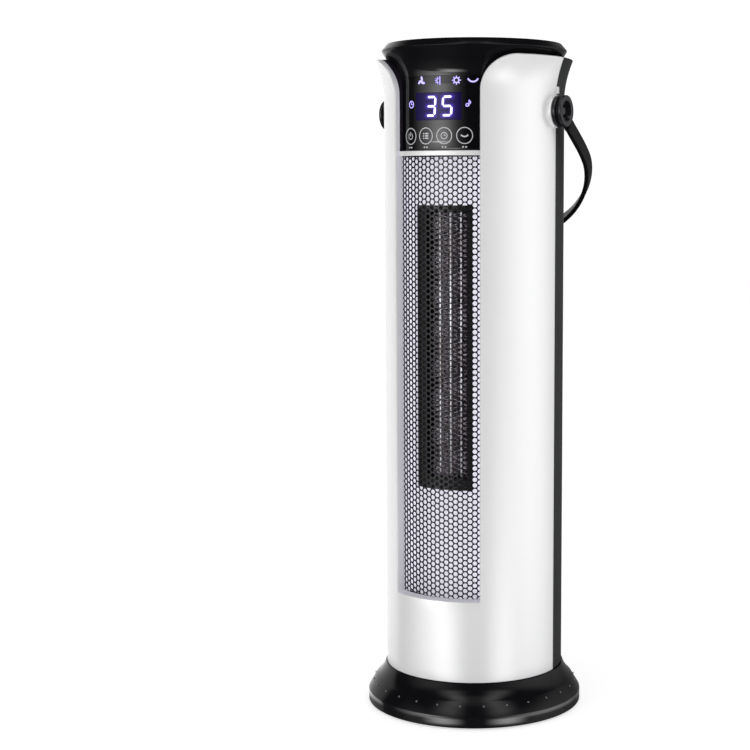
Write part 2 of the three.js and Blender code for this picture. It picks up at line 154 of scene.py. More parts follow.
class Value:
    """A shader socket that takes part in Python arithmetic."""

    def __init__(self, shading, socket):
        self.shading = shading
        self.socket = socket

    def combined(self, operation, first, second):
        """Any of the math node's operations, on this tree."""
        node = self.shading.node("ShaderNodeMath", {"operation": operation}, {0: first, 1: second})
        return self.shading.output(node)

    def __add__(self, other):
        return self.combined("ADD", self, other)

    def __radd__(self, other):
        return self.combined("ADD", other, self)

    def __sub__(self, other):
        return self.combined("SUBTRACT", self, other)

    def __rsub__(self, other):
        return self.combined("SUBTRACT", other, self)

    def __mul__(self, other):
        return self.combined("MULTIPLY", self, other)

    def __rmul__(self, other):
        return self.combined("MULTIPLY", other, self)

    def __truediv__(self, other):
        return self.combined("DIVIDE", self, other)

    def __rtruediv__(self, other):
        return self.combined("DIVIDE", other, self)

    def __pow__(self, other):
        return self.combined("POWER", self, other)

    def __rpow__(self, other):
        return self.combined("POWER", other, self)

    def __neg__(self):
        return self.combined("MULTIPLY", self, -1.0)


class Shading:
    """Nodes of one shader tree, with the few patterns everything here is made of."""

    def __init__(self, tree):
        self.tree = tree

    def feed(self, socket, value):
        if isinstance(value, Value):
            self.tree.links.new(value.socket, socket)
        else:
            socket.default_value = value

    def node(self, kind, settings, inputs):
        """Adds a node: its settings first, a ramp's stops among them, then its sockets."""
        node = self.tree.nodes.new(kind)
        for key, value in settings.items():
            if key == "stops":
                ramp = node.color_ramp.elements
                while len(ramp) < len(value):
                    ramp.new(0.5)
                for element, (place, tint) in zip(ramp, value):
                    element.position = place
                    element.color = tint
            else:
                setattr(node, key, value)
        for key, value in inputs.items():
            self.feed(node.inputs[key], value)
        return node

    def output(self, node, socket=0):
        return Value(self, node.outputs[socket])

    def place(self):
        """The piece's own coordinates, in metres."""
        return self.output(self.node("ShaderNodeTexCoord", {}, {}), "Object")

    def noise(self, scale, detail=2.0, rough=0.5, vector=None):
        """Noise whose scale is in features per metre."""
        inputs = {"Vector": vector or self.place(), "Scale": scale, "Detail": detail, "Roughness": rough}
        return self.output(self.node("ShaderNodeTexNoise", {}, inputs), "Fac")

    def stretched(self, x, y, z):
        """Object coordinates scaled by axis."""
        inputs = {"Vector": self.place(), "Scale": (x, y, z)}
        return self.output(self.node("ShaderNodeMapping", {}, inputs))

    def between(self, value, low, high, to_low, to_high):
        """Maps a value's range to another, clamped."""
        inputs = {0: value, 1: low, 2: high, 3: to_low, 4: to_high}
        return self.output(self.node("ShaderNodeMapRange", {}, inputs))

    def tint(self, mask, first, second):
        """A colour between two, by a mask."""
        inputs = {"Factor": mask, "A": (*first, 1.0), "B": (*second, 1.0)}
        node = self.node("ShaderNodeMix", {"data_type": "RGBA"}, {})
        self.feed(node.inputs[0], inputs["Factor"])
        self.feed(node.inputs[6], inputs["A"])
        self.feed(node.inputs[7], inputs["B"])
        return Value(self, node.outputs[2])


class Finish(Shading):
    """A procedural material on a Principled shader."""

    def __init__(self, name, base=(0.5, 0.5, 0.5), roughness=0.5, metallic=0.0, **uniform):
        self.material = bpy.data.materials.new(name)
        self.material.use_nodes = True
        super().__init__(self.material.node_tree)
        self.shader = self.tree.nodes["Principled BSDF"]
        self.set("Base Color", (*base, 1.0))
        self.set("Roughness", roughness)
        self.set("Metallic", metallic)
        for socket, value in uniform.items():
            self.set(socket.replace("_", " "), value)

    def set(self, socket, value):
        """Sets or links one of the shader's sockets."""
        self.feed(self.shader.inputs[socket], value)

    def bump(self, height, distance, strength=1.0):
        """A bump of some metres' depth, linked to the shader's normal."""
        inputs = {"Height": height, "Distance": distance, "Strength": strength}
        self.set("Normal", self.output(self.node("ShaderNodeBump", {}, inputs), "Normal"))

    def worn(self, scale, detail, low, high):
        """A roughness that drifts between two values over the piece."""
        self.set("Roughness", self.between(self.noise(scale, detail), 0.3, 0.7, low, high))

    def uneven(self, base, spread, scale):
        """A colour that drifts a little over the piece."""
        darker = tuple(channel * (1 - spread) for channel in base)
        self.set("Base Color", self.tint(self.between(self.noise(scale, 4), 0.3, 0.7, 0, 1), base, darker))


BASE_BAND = 10.7


def white_moulding():
    """Glossy white plastic with a faint mould texture and handling haze."""
    finish = Finish("white_moulding", roughness=0.35, Coat_Weight=1.0, Coat_Roughness=0.26, Coat_IOR=2.05)
    finish.uneven(tuple(colours().white), 0.02, 9)
    haze = finish.noise(60, 5)
    finish.set("Roughness", finish.between(haze, 0.3, 0.75, 0.3, 0.42))
    finish.bump(finish.noise(900, 2), 0.00004, 0.25)
    return finish.material


def satin_white():
    """Satin white plastic of the outlet wall."""
    finish = Finish("satin_white", roughness=0.42)
    finish.uneven(tuple(colours().inner_white), 0.05, 14)
    finish.worn(80, 4, 0.36, 0.5)
    finish.bump(finish.noise(1600, 2), 0.00004, 0.3)
    return finish.material


def reflector_white_glow():
    """Bright white paint on the plate behind the grille, with a painted glow that makes it shine as if lit
    through the holes.
    """
    finish = Finish("reflector_white_glow", roughness=0.5)
    finish.uneven((0.93, 0.92, 0.97), 0.04, 16)
    # Painted light: the plate emits a faint, uneven lavender glow, though it is no lamp.
    finish.set("Emission Color", finish.tint(finish.noise(30, 3), (0.9, 0.88, 1.0), (0.82, 0.8, 0.96)))
    finish.set("Emission Strength", 0.5)
    finish.bump(finish.noise(1400, 2), 0.00005, 0.3)
    return finish.material


def piano_black(name="piano_black", rough=0.1, black=None, polish=1.0):
    """Gloss black with dust and wiping marks, polished on the base's band and the brow over the panel."""
    finish = Finish(name, roughness=rough, Specular_IOR_Level=0.1)
    black = black or tuple(colours().black)
    dust = finish.between(finish.noise(2600, 3, 0.6), 0.62, 0.74, 0, 1)
    finish.set("Base Color", finish.tint(dust * 0.2, black, (0.05, 0.05, 0.055)))
    wipes = finish.noise(45, 6, 0.62, finish.stretched(1, 1, 0.3))
    finish.set("Roughness", finish.between(wipes, 0.35, 0.7, rough, rough + 0.1))
    height = finish.output(finish.node("ShaderNodeSeparateXYZ", {}, {"Vector": finish.place()}), "Z")
    band = finish.between(height, BASE_BAND * MM, BASE_BAND * MM + 0.0005, 1, 0)
    brow = finish.between(height, 0.45, 0.46, 0, 1) * finish.between(height, 0.572, 0.583, 1, 0)
    finish.set("Coat Weight", (band + brow) * polish)
    finish.set("Coat Roughness", 0.06)
    finish.bump(finish.noise(300, 2), 0.00003, 0.12)
    return finish.material


def hub_polish():
    """Polished dark grey plastic of the pivot hubs."""
    finish = Finish("hub_polish", roughness=0.18, Specular_IOR_Level=0.3)
    finish.uneven((0.008, 0.0075, 0.011), 0.3, 120)
    finish.worn(240, 4, 0.14, 0.26)
    finish.bump(finish.noise(900, 2), 0.00003, 0.2)
    return finish.material


def strap_black():
    """Semi-gloss black of the handle with a soft grain."""
    finish = Finish("strap_black", roughness=0.32, Specular_IOR_Level=0.06)
    finish.uneven((0.006, 0.006, 0.0065), 0.35, 60)
    finish.worn(150, 5, 0.26, 0.42)
    finish.bump(finish.noise(2200, 3), 0.00006, 0.35)
    return finish.material


def spark_black(name="spark_black", base=None, rough=0.5):
    """Matt charcoal plastic with a spark-eroded mould texture."""
    finish = Finish(name, roughness=rough, Specular_IOR_Level=0.2)
    finish.uneven(base or tuple(colours().charcoal), 0.25, 25)
    grain = finish.noise(3200, 3, 0.6)
    finish.set("Roughness", finish.between(grain, 0.3, 0.7, rough - 0.06, rough + 0.12))
    finish.bump(grain, 0.00012, 0.5)
    return finish.material


def lens_black():
    """Mirror black of the control panel with faint finger marks."""
    finish = Finish("lens_black", roughness=0.05)
    finish.uneven((0.0035, 0.0035, 0.0045), 0.3, 40)
    marks = finish.between(finish.noise(70, 5, 0.6), 0.5, 0.75, 0, 1)
    finish.set("Roughness", marks * 0.1 + 0.05)
    finish.bump(finish.noise(120, 1), 0.00002, 0.08)
    return finish.material


def lit(name, base, strength):
    """A lit symbol that shines a little unevenly."""
    finish = Finish(name, base=base, roughness=0.4)
    bright = tuple(min(1.0, channel * 1.15 + 0.02) for channel in base)
    finish.set("Emission Color", finish.tint(finish.noise(700, 2), base, bright))
    finish.set("Emission Strength", strength)
    return finish.material


def digit_window():
    """Navy display window whose glow comes from the mesh's own glow attribute."""
    finish = Finish("digit_window", base=(0.003, 0.001, 0.02), roughness=0.12, Specular_IOR_Level=0.15)
    glow = finish.output(finish.node("ShaderNodeAttribute", {"attribute_name": "glow"}, {}), "Fac")
    halo = finish.tint(glow ** 1.4, (0.006, 0.002, 0.06), tuple(colours().glow))
    finish.set("Emission Color", halo)
    finish.set("Emission Strength", 0.5)
    finish.set("Roughness", finish.between(finish.noise(90, 4), 0.4, 0.7, 0.07, 0.16))
    return finish.material


def silver_print_glow():
    """Pale screen print, slightly worn, with a faint painted glow."""
    finish = Finish("silver_print_glow", roughness=0.45)
    finish.uneven(tuple(colours().print_white), 0.18, 500)
    # Painted light: the print glows faintly so it reads brighter, though nothing lights it.
    finish.set("Emission Color", (*colours().print_white, 1.0))
    finish.set("Emission Strength", 0.12)
    return finish.material


def grille_paint():
    """Black powder paint on perforated sheet, rubbed thin in places."""
    finish = Finish("grille_paint", roughness=0.24, Specular_IOR_Level=0.25)
    thin = finish.between(finish.noise(320, 5, 0.6), 0.5, 0.72, 0, 1)
    finish.set("Base Color", finish.tint(thin, (0.004, 0.0035, 0.005), (0.02, 0.018, 0.024)))
    finish.worn(1100, 3, 0.2, 0.34)
    finish.bump(finish.noise(2600, 2), 0.00004, 0.35)
    return finish.material


def fin_metal():
    """Dull aluminium of the folded fins, browned by heat."""
    finish = Finish("fin_metal", roughness=0.42, metallic=0.85)
    warm = finish.between(finish.noise(140, 5, 0.6), 0.35, 0.7, 0, 1)
    finish.set("Base Color", finish.tint(warm, (0.62, 0.55, 0.66), (0.34, 0.24, 0.27)))
    finish.worn(900, 3, 0.34, 0.55)
    finish.bump(finish.noise(1500, 3), 0.00006, 0.4)
    return finish.material


def bar_metal():
    """Brighter aluminium tube over the heating stones."""
    finish = Finish("bar_metal", roughness=0.3, metallic=0.8)
    patch = finish.between(finish.noise(60, 5, 0.6, finish.stretched(1, 1, 0.6)), 0.4, 0.65, 0, 1)
    finish.set("Base Color", finish.tint(patch, (0.78, 0.78, 0.84), (0.3, 0.25, 0.24)))
    finish.worn(500, 4, 0.22, 0.45)
    finish.bump(finish.noise(700, 2), 0.00005, 0.3)
    return finish.material


def zinc_steel():
    """Zinc plated steel with fine drawn lines."""
    finish = Finish("zinc_steel", roughness=0.32, metallic=1.0)
    lines = finish.noise(900, 3, 0.6, finish.stretched(1, 1, 0.05))
    finish.set("Base Color", finish.tint(lines, (0.62, 0.63, 0.66), (0.46, 0.47, 0.5)))
    finish.set("Roughness", finish.between(lines, 0.3, 0.7, 0.24, 0.42))
    finish.bump(lines, 0.00003, 0.3)
    return finish.material


def soft_rubber():
    """Matt black rubber with a talc bloom."""
    finish = Finish("soft_rubber", roughness=0.85)
    bloom = finish.between(finish.noise(120, 6, 0.65), 0.5, 0.75, 0, 1)
    finish.set("Base Color", finish.tint(bloom, (0.013, 0.013, 0.013), (0.034, 0.034, 0.034)))
    finish.worn(300, 4, 0.76, 0.95)
    finish.bump(finish.noise(1800, 3), 0.0001, 0.5)
    return finish.material


def natural_nylon():
    """Waxy natural nylon."""
    finish = Finish("natural_nylon", roughness=0.45, Subsurface_Weight=0.15)
    finish.uneven((0.72, 0.69, 0.62), 0.08, 60)
    finish.worn(400, 4, 0.38, 0.55)
    finish.bump(finish.noise(1200, 2), 0.00005, 0.3)
    return finish.material


def solder_mask():
    """Green circuit board with a hint of tracks."""
    finish = Finish("solder_mask", roughness=0.35)
    brick = {"Vector": finish.stretched(1, 1, 1), "Scale": 160.0}
    cells = finish.output(finish.node("ShaderNodeTexVoronoi", {"distance": "MANHATTAN"}, brick), "Distance")
    tracks = finish.between(cells, 0.1, 0.16, 1, 0)
    finish.set("Base Color", finish.tint(tracks, (0.01, 0.1, 0.045), (0.03, 0.2, 0.1)))
    finish.worn(500, 3, 0.28, 0.45)
    finish.bump(tracks, 0.00005, 0.4)
    return finish.material


def aged_brass():
    """Brass with a thin tarnish."""
    finish = Finish("aged_brass", roughness=0.3, metallic=1.0)
    tarnish = finish.between(finish.noise(200, 5, 0.6), 0.4, 0.7, 0, 1)
    finish.set("Base Color", finish.tint(tarnish, (0.72, 0.52, 0.22), (0.4, 0.27, 0.12)))
    finish.set("Roughness", tarnish * 0.25 + 0.25)
    finish.bump(finish.noise(900, 2), 0.00003, 0.3)
    return finish.material


MADE = {}


def material(maker, *options):
    """The material of a maker, made once."""
    key = (maker.__name__, *options)
    if key not in MADE:
        MADE[key] = maker(*options)
    return MADE[key]


# ---------------------------------------------------------------- modelling


def only(obj):
    """Makes obj the only selected and the active object."""
    bpy.ops.object.select_all(action="DESELECT")
    obj.select_set(True)
    bpy.context.view_layer.objects.active = obj


def started(name):
    """Names the primitive just added."""
    obj = bpy.context.object
    obj.name = name
    obj.data.name = name
    return obj


def deselected():
    bpy.ops.object.select_all(action="DESELECT")


def block(name, middle, size):
    """A box of some size round its middle."""
    deselected()
    bpy.ops.mesh.primitive_cube_add(size=1, location=middle, scale=size)
    box = started(name)
    bpy.ops.object.transform_apply(location=True, rotation=True, scale=True)
    return box


def select_faces(obj, test):
    """Selects the faces whose centre and normal pass a test, from object mode."""
    for vertex in obj.data.vertices:
        vertex.select = False
    for edge in obj.data.edges:
        edge.select = False
    for face in obj.data.polygons:
        face.select = test(face.center, face.normal)


def drop_faces(obj, test):
    """Deletes the faces that pass a test."""
    bpy.context.tool_settings.mesh_select_mode = (False, False, True)
    select_faces(obj, test)
    only(obj)
    bpy.ops.object.mode_set(mode="EDIT")
    bpy.ops.mesh.select_mode(type="FACE")
    bpy.ops.mesh.delete(type="FACE")
    bpy.ops.object.mode_set(mode="OBJECT")


def modify(obj, kind, **settings):
    """Adds a modifier and applies it."""
    only(obj)
    modifier = obj.modifiers.new(kind.lower(), kind)
    for key, value in settings.items():
        setattr(modifier, key, value)
    bpy.ops.object.modifier_apply(modifier=modifier.name)
    return obj


def bevelled(obj, width, segments=3, limit=35):
    return modify(
        obj, "BEVEL", width=width, segments=segments, limit_method="ANGLE",
        angle_limit=math.radians(limit), harden_normals=False, miter_outer="MITER_ARC",
    )


def thickened(obj, thickness, offset=-1.0):
    return modify(obj, "SOLIDIFY", thickness=thickness, offset=offset, use_even_offset=True)


def cleaned(obj):
    """Merges doubles and turns the faces outwards."""
    only(obj)
    bpy.ops.object.mode_set(mode="EDIT")
    bpy.ops.mesh.select_all(action="SELECT")
    bpy.ops.mesh.remove_doubles(threshold=0.002)
    bpy.ops.mesh.normals_make_consistent(inside=False)
    bpy.ops.object.mode_set(mode="OBJECT")
    return obj


def filleted(points, radius, steps=4):
    """An open outline with each inner corner rounded by up to a radius."""
    result = [points[0]]
    for before, corner, after in zip(points, points[1:], points[2:]):
        before, corner, after = Vector(before), Vector(corner), Vector(after)
        back, ahead = before - corner, after - corner
        reach = min(radius, back.length * 0.45, ahead.length * 0.45)
        start = corner + back.normalized() * reach
        end = corner + ahead.normalized() * reach
        for i in range(steps + 1):
            t = i / steps
            point = start * (1 - t) ** 2 + corner * (2 * t * (1 - t)) + end * t * t
            result.append(tuple(point))
    result.append(points[-1])
    return result


def turned(name, profile, steps=128, sweep=360.0):
    """Spins an outline of (radius, height) points about Z into a closed piece."""
    deselected()
    bpy.ops.mesh.primitive_plane_add(size=1, location=(0, 0, 0))
    obj = started(name)
    bpy.ops.object.mode_set(mode="EDIT")
    bpy.ops.mesh.select_mode(type="VERT")
    bpy.ops.mesh.merge(type="CENTER")
    bpy.ops.transform.translate(value=(profile[0][0], 0, profile[0][1]))
    for before, after in zip(profile, profile[1:]):
        move = (after[0] - before[0], 0, after[1] - before[1])
        bpy.ops.mesh.extrude_region_move(TRANSFORM_OT_translate={"value": move})
    bpy.ops.mesh.select_all(action="SELECT")
    bpy.ops.mesh.spin(steps=steps, angle=math.radians(sweep), center=(0, 0, 0), axis=(0, 0, 1))
    bpy.ops.object.mode_set(mode="OBJECT")
    return cleaned(obj)


def laid_along_x(obj, side, height):
    """Turns a piece made along +Z to point along +X or -X at some height."""
    turn = Matrix.Rotation(math.radians(90 * side), 4, "Y")
    obj.data.transform(Matrix.Translation((0, 0, height)) @ turn)
    return obj


def laid_along_y(obj, turn=0.0, height=0.0):
    """Turns a piece made along +Z to point along +Y, then about Z by some degrees."""
    spin = Matrix.Rotation(math.radians(turn), 4, "Z") @ Matrix.Rotation(math.radians(-90), 4, "X")
    obj.data.transform(Matrix.Translation((0, 0, height)) @ spin)
    return obj


def grid(name, columns, rows, place):
    """A sheet of quads with a vertex at place(column, row) for each pair of values."""
    deselected()
    across, up = len(columns) - 1, len(rows) - 1
    bpy.ops.mesh.primitive_grid_add(x_subdivisions=across, y_subdivisions=up, size=2)
    obj = started(name)
    for vertex in obj.data.vertices:
        i = round((vertex.co.x + 1) / 2 * across)
        j = round((vertex.co.y + 1) / 2 * up)
        vertex.co = place(columns[i], rows[j])
    return obj


def spaced(low, high, count):
    return [low + (high - low) * i / count for i in range(count + 1)]


def on_face(turn, height, radius):
    """The point at some degrees from the front, some height and some radius."""
    return Vector((radius * math.sin(math.radians(turn)), -radius * math.cos(math.radians(turn)), height))


def wrapped(obj, radius):
    """Bends a piece drawn in the XZ plane, facing -Y, round the tower's axis."""
    for vertex in obj.data.vertices:
        x, y, z = vertex.co
        vertex.co = on_face(math.degrees(x / radius), z, radius - y)
    return obj


def joined(name, pieces):
    """Joins pieces into the first and names it."""
    bpy.ops.object.select_all(action="DESELECT")
    for piece in pieces:
        piece.select_set(True)
    bpy.context.view_layer.objects.active = pieces[0]
    bpy.ops.object.join()
    pieces[0].name = name
    pieces[0].data.name = name
    return pieces[0]


def placed(obj, body, slot, finish, *nodes, smooth=30):
    """Scales a piece to metres, shades it, gives it its finish and fixes it to its body."""
    only(obj)
    bpy.ops.object.transform_apply(location=True, rotation=True, scale=True)
    obj.data.transform(Matrix.Scale(MM, 4))
    bpy.ops.object.shade_smooth_by_angle(angle=math.radians(smooth))
    obj.data.materials.clear()
    obj.data.materials.append(finish)
    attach(obj, body)
    if nodes:
        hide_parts(*nodes)
    return obj


# ---------------------------------------------------------------- shells


def shell_radius(z):
    s = sizes()
    start, top = in_mm(s.flare_start), SHELL_TOP
    rise = max(0.0, (z - start) / (top - start))
    return in_mm(s.body_radius) + in_mm(s.flare_out) * rise ** 1.8


SHELL_BOTTOM = node_box("front_shell")[0].z
SHELL_TOP = node_box("front_shell")[1].z
PIVOT_Z = (node_box("hub_cap_right")[0].z + node_box("hub_cap_right")[1].z) / 2
PARTING = 0.12


def lapel_top(turn):
    """Height of the front shell's edge at some degrees from the front."""
    s = sizes()
    low, high = math.degrees(s.opening_half), math.degrees(s.lapel_half)
    share = max(0.0, min(1.0, (high - abs(turn)) / (high - low)))
    start = in_mm(s.lapel_start)
    return start + (SHELL_TOP - start) * math.sqrt(max(0.0, 1 - share ** 2))


def lapel_turns(count):
    """Angles from the opening's side to the lapel's end, close together where the edge is steep."""
    s = sizes()
    low, high = math.degrees(s.opening_half), math.degrees(s.lapel_half)
    return [high - (high - low) * math.cos(math.pi / 2 * i / count) for i in range(count + 1)]


def front_skin():
    """Front half of the shell with its open-topped outlet and round lapels."""
    s = sizes()
    half, bottom, start = math.degrees(s.opening_half), in_mm(s.opening_bottom), in_mm(s.lapel_start)
    right = lapel_turns(24) + spaced(math.degrees(s.lapel_half), 90 - PARTING, 26)[1:]
    turns = [-turn for turn in reversed(right)] + spaced(-half, half, 28)[1:-1] + right
    rows = spaced(SHELL_BOTTOM, bottom, 8) + spaced(bottom, start, 40)[1:] + spaced(start, SHELL_TOP, 20)[1:]

    def place(turn, z):
        if z > bottom and abs(turn) >= half:
            z = bottom + (z - bottom) * (lapel_top(turn) - bottom) / (SHELL_TOP - bottom)
        return on_face(turn, z, shell_radius(z))

    skin = grid("front_skin", turns, rows, place)

    def in_opening(centre, _):
        turn = math.degrees(math.atan2(centre.x, -centre.y))
        return abs(turn) < half and centre.z > bottom

    drop_faces(skin, in_opening)
    thickened(skin, in_mm(s.shell_wall))
    bevelled(skin, 1.1, 4, 50)
    return skin


def pivot_boss(name, front):
    """Raised round seat of the handle's pivots, one half on each shell."""
    profile = [(5.8, 78.0), (14.6, 78.0), (14.6, 82.5), (5.8, 82.5)]
    outline = filleted(profile, 0.5, 4) + [profile[0]]
    pieces = []
    for side in (-1, 1):
        boss = laid_along_x(turned(name, outline, 64), side, PIVOT_Z)
        only(boss)
        bpy.ops.object.mode_set(mode="EDIT")
        bpy.ops.mesh.select_all(action="SELECT")
        bpy.ops.mesh.bisect(
            plane_co=(0, -PARTING if front else PARTING, 0), plane_no=(0, 1, 0),
            use_fill=True, clear_outer=front, clear_inner=not front,
        )
        bpy.ops.object.mode_set(mode="OBJECT")
        pieces.append(boss)
    return joined(name, pieces)


SLOT_STEP = 5.5
SLOT_COUNT = 13
SLOT_HALF = 1.15
SLOT_TIERS = ((215, 325), (340, 450))


def rear_skin():
    """Rear half of the shell with two tiers of upright intake slots."""
    s = sizes()
    edges = []
    for i in range(SLOT_COUNT):
        middle = 180 + (i - (SLOT_COUNT - 1) / 2) * SLOT_STEP
        edges += [middle - SLOT_HALF, middle, middle + SLOT_HALF]
    turns = spaced(90 + PARTING, edges[0], 24) + edges[1:-1] + spaced(edges[-1], 270 - PARTING, 24)
    (low_a, low_b), (high_a, high_b) = SLOT_TIERS
    rows = spaced(SHELL_BOTTOM, 60, 2) + spaced(60, 90, 4)[1:] + spaced(90, low_a, 10)[1:]
    rows += spaced(low_a, low_b, 10)[1:] + spaced(low_b, high_a, 2)[1:] + spaced(high_a, high_b, 10)[1:]
    rows += spaced(high_b, in_mm(s.flare_start), 8)[1:] + spaced(in_mm(s.flare_start), SHELL_TOP, 14)[1:]
    skin = grid("rear_skin", turns, rows, lambda turn, z: on_face(turn, z, shell_radius(z)))

    def in_slot(centre, _):
        turn = math.degrees(math.atan2(centre.x, -centre.y)) % 360
        offset = (turn - 180) / SLOT_STEP
        near = abs(offset - round(offset)) * SLOT_STEP < SLOT_HALF and abs(round(offset)) <= SLOT_COUNT // 2
        return near and any(low < centre.z < high for low, high in SLOT_TIERS)

    drop_faces(skin, in_slot)
    thickened(skin, in_mm(s.shell_wall))
    bevelled(skin, 0.45, 2, 50)
    return skin


class HEATER_OT_shells(bpy.types.Operator):
    """Builds the white front shell and the charcoal rear shell"""

    bl_idname = "heater.shells"
    bl_label = "Shells"

    def execute(self, context):
        front = joined("front_skin", [front_skin(), pivot_boss("front_boss", True), *self.tabs()])
        placed(front, "tower", "white_shell", material(white_moulding), "front_shell")
        rear = joined("rear_skin", [rear_skin(), pivot_boss("rear_boss", False)])
        placed(rear, "tower", "rear_black", material(spark_black), "rear_shell")
        return {"FINISHED"}

    def tabs(self):
        """Small catches of the front shell that lap over the rear one above each hub."""
        tabs = []
        for side in (-1, 1):
            tab = block("catch", (side * 81.7, 1.6, 557.6), (1.6, 4.6, 6.4))
            tabs.append(bevelled(tab, 0.5, 3))
        return tabs


# ---------------------------------------------------------------- cap and outlet


def cap_radius(z):
    """Radius of the face below the cap's rim: straight, then a cone."""
    face = in_mm(sizes().face_radius)
    knee, flank, rim = CAP_BOTTOM, HEIGHT - 16.4, HEIGHT - 6.5
    if z <= knee:
        return face
    if z <= flank:
        return face + 4.5 * ((z - knee) / (flank - knee)) ** 1.5
    return face + 4.5 + 6.2 * (z - flank) / (rim - flank)


CAP_BOTTOM = node_box("top_cap")[0].z


class HEATER_OT_cap(bpy.types.Operator):
    """Builds the flared gloss cap with its bevelled rim"""

    bl_idname = "heater.cap"
    bl_label = "Top cap"

    def execute(self, context):
        flare = [(cap_radius(z), z) for z in spaced(CAP_BOTTOM + 0.2, HEIGHT - 7.4, 12)]
        rim = filleted([flare[-1], (83.1, HEIGHT - 5.9), (78.2, HEIGHT - 0.15), (75.6, HEIGHT - 0.15),
                        (74.6, HEIGHT - 1.6), (0, HEIGHT - 1.6)], 0.35, 3)
        inside = [(0, HEIGHT - 4), (76.5, HEIGHT - 4), (74.4, HEIGHT - 16.4), (70.1, CAP_BOTTOM + 0.2)]
        cap = turned("cap_moulding", flare + rim[1:] + inside + [flare[0]], 160)
        placed(cap, "tower", "black_gloss", material(piano_black), "top_cap")
        return {"FINISHED"}


def outlet_path():
    """The opening's edge as (degrees, height), down the left side, across and up the right."""
    s = sizes()
    half, bottom, corner = math.degrees(s.opening_half), in_mm(s.opening_bottom), 1.2
    strip_low, strip_high = node_box("trim_strip")
    side = [(half, z) for z in spaced(bottom + corner, strip_low.z - 0.01, 24)]
    side += [(half, z) for z in spaced(strip_low.z, strip_high.z, 1)]
    side += [(half, z) for z in spaced(strip_high.z + 0.01, in_mm(s.lapel_start), 6)]
    side += [(turn, lapel_top(turn)) for turn in lapel_turns(24)[1:]]
    floor = [(turn, bottom) for turn in spaced(-half + 0.85, half - 0.85, 24)]
    return [(-turn, z) for turn, z in reversed(side)] + floor + side


def return_wall(name, path, outer, inner):
    """Wall along a path, flush with the opening's edge, between two radii that depend on height."""
    floor = in_mm(sizes().opening_bottom) + 0.5

    def place(index, depth):
        turn, z = path[index]
        turn += math.copysign(0.42, turn) if z > floor else 0.0
        lift = 1.4 * depth - 0.5 if z < floor else 0.0
        return on_face(turn, z + lift, outer(z) + (inner(z) - outer(z)) * depth)

    wall = grid(name, list(range(len(path))), [0.0, 0.5, 1.0], place)
    return thickened(wall, 1.0, 0.0)


class HEATER_OT_outlet(bpy.types.Operator):
    """Builds the wall round the outlet, the trim strip and the plate behind the grille"""

    bl_idname = "heater.outlet"
    bl_label = "Outlet"

    def execute(self, context):
        s = sizes()
        strip_low, strip_high = node_box("trim_strip")
        path = outlet_path()
        grille = in_mm(s.grille_radius)
        lip = 5.0

        def white_end(z):
            return grille - 0.1 if z < strip_low.z else shell_radius(z) - lip

        wall = return_wall("outlet_wall", path, lambda z: shell_radius(z) - 0.9, white_end)
        placed(wall, "tower", "white_inner", material(satin_white), "outlet_bezel")
        first = next(i for i, point in enumerate(path) if point[1] <= strip_high.z)
        sides = [
            return_wall("face_wall", part, lambda z: shell_radius(z) - lip, lambda z: cap_radius(z) + 0.3)
            for part in (path[:first], path[-first:])
        ]
        surround = joined("face_wall", sides)
        finish = material(piano_black, "satin_surround", 0.35, (0.015, 0.011, 0.019), 0.0)
        placed(surround, "tower", "black_gloss", finish)
        half = math.degrees(s.opening_half) + 0.05
        strip = grid("outlet_strip", spaced(-half, half, 48), [strip_low.z, strip_high.z],
                     lambda turn, z: on_face(turn, z, in_mm(s.strip_radius)))
        thickened(strip, 5.0)
        bevelled(strip, 0.4, 3)
        placed(strip, "tower", "white_shell", material(white_moulding), "trim_strip")
        self.backing()
        return {"FINISHED"}

    def backing(self):
        """White plate with a window for the heating core."""
        plate_low, plate_high = node_box("duct_front")
        window_low, window_high, half = 206, 457.5, 26.2
        turns = spaced(-42, -half, 10) + spaced(-half, half, 24)[1:-1] + spaced(half, 42, 10)
        rows = [plate_low.z] + spaced(window_low, window_high, 8) + [plate_high.z]
        plate = grid("reflector", turns, rows, lambda turn, z: on_face(turn, z, -plate_low.y))

        def in_window(centre, _):
            turn = math.degrees(math.atan2(centre.x, -centre.y))
            return abs(turn) < half and window_low < centre.z < window_high

        drop_faces(plate, in_window)
        thickened(plate, 1.4)
        bevelled(plate, 0.3, 2)
        reach = in_mm(sizes().grille_radius) - 1.0
        flanges = []
        for turn in (-34.3, 34.3):
            flange = grid("flange", [-plate_low.y - 0.7, reach], [plate_low.z, plate_high.z],
                          lambda r, z: on_face(turn, z, r))
            flanges.append(thickened(flange, 0.8, 0.0))
        plate = joined("reflector", [plate, *flanges])
        placed(plate, "tower", "white_inner", material(reflector_white_glow), "duct_front")


# ---------------------------------------------------------------- grille and core


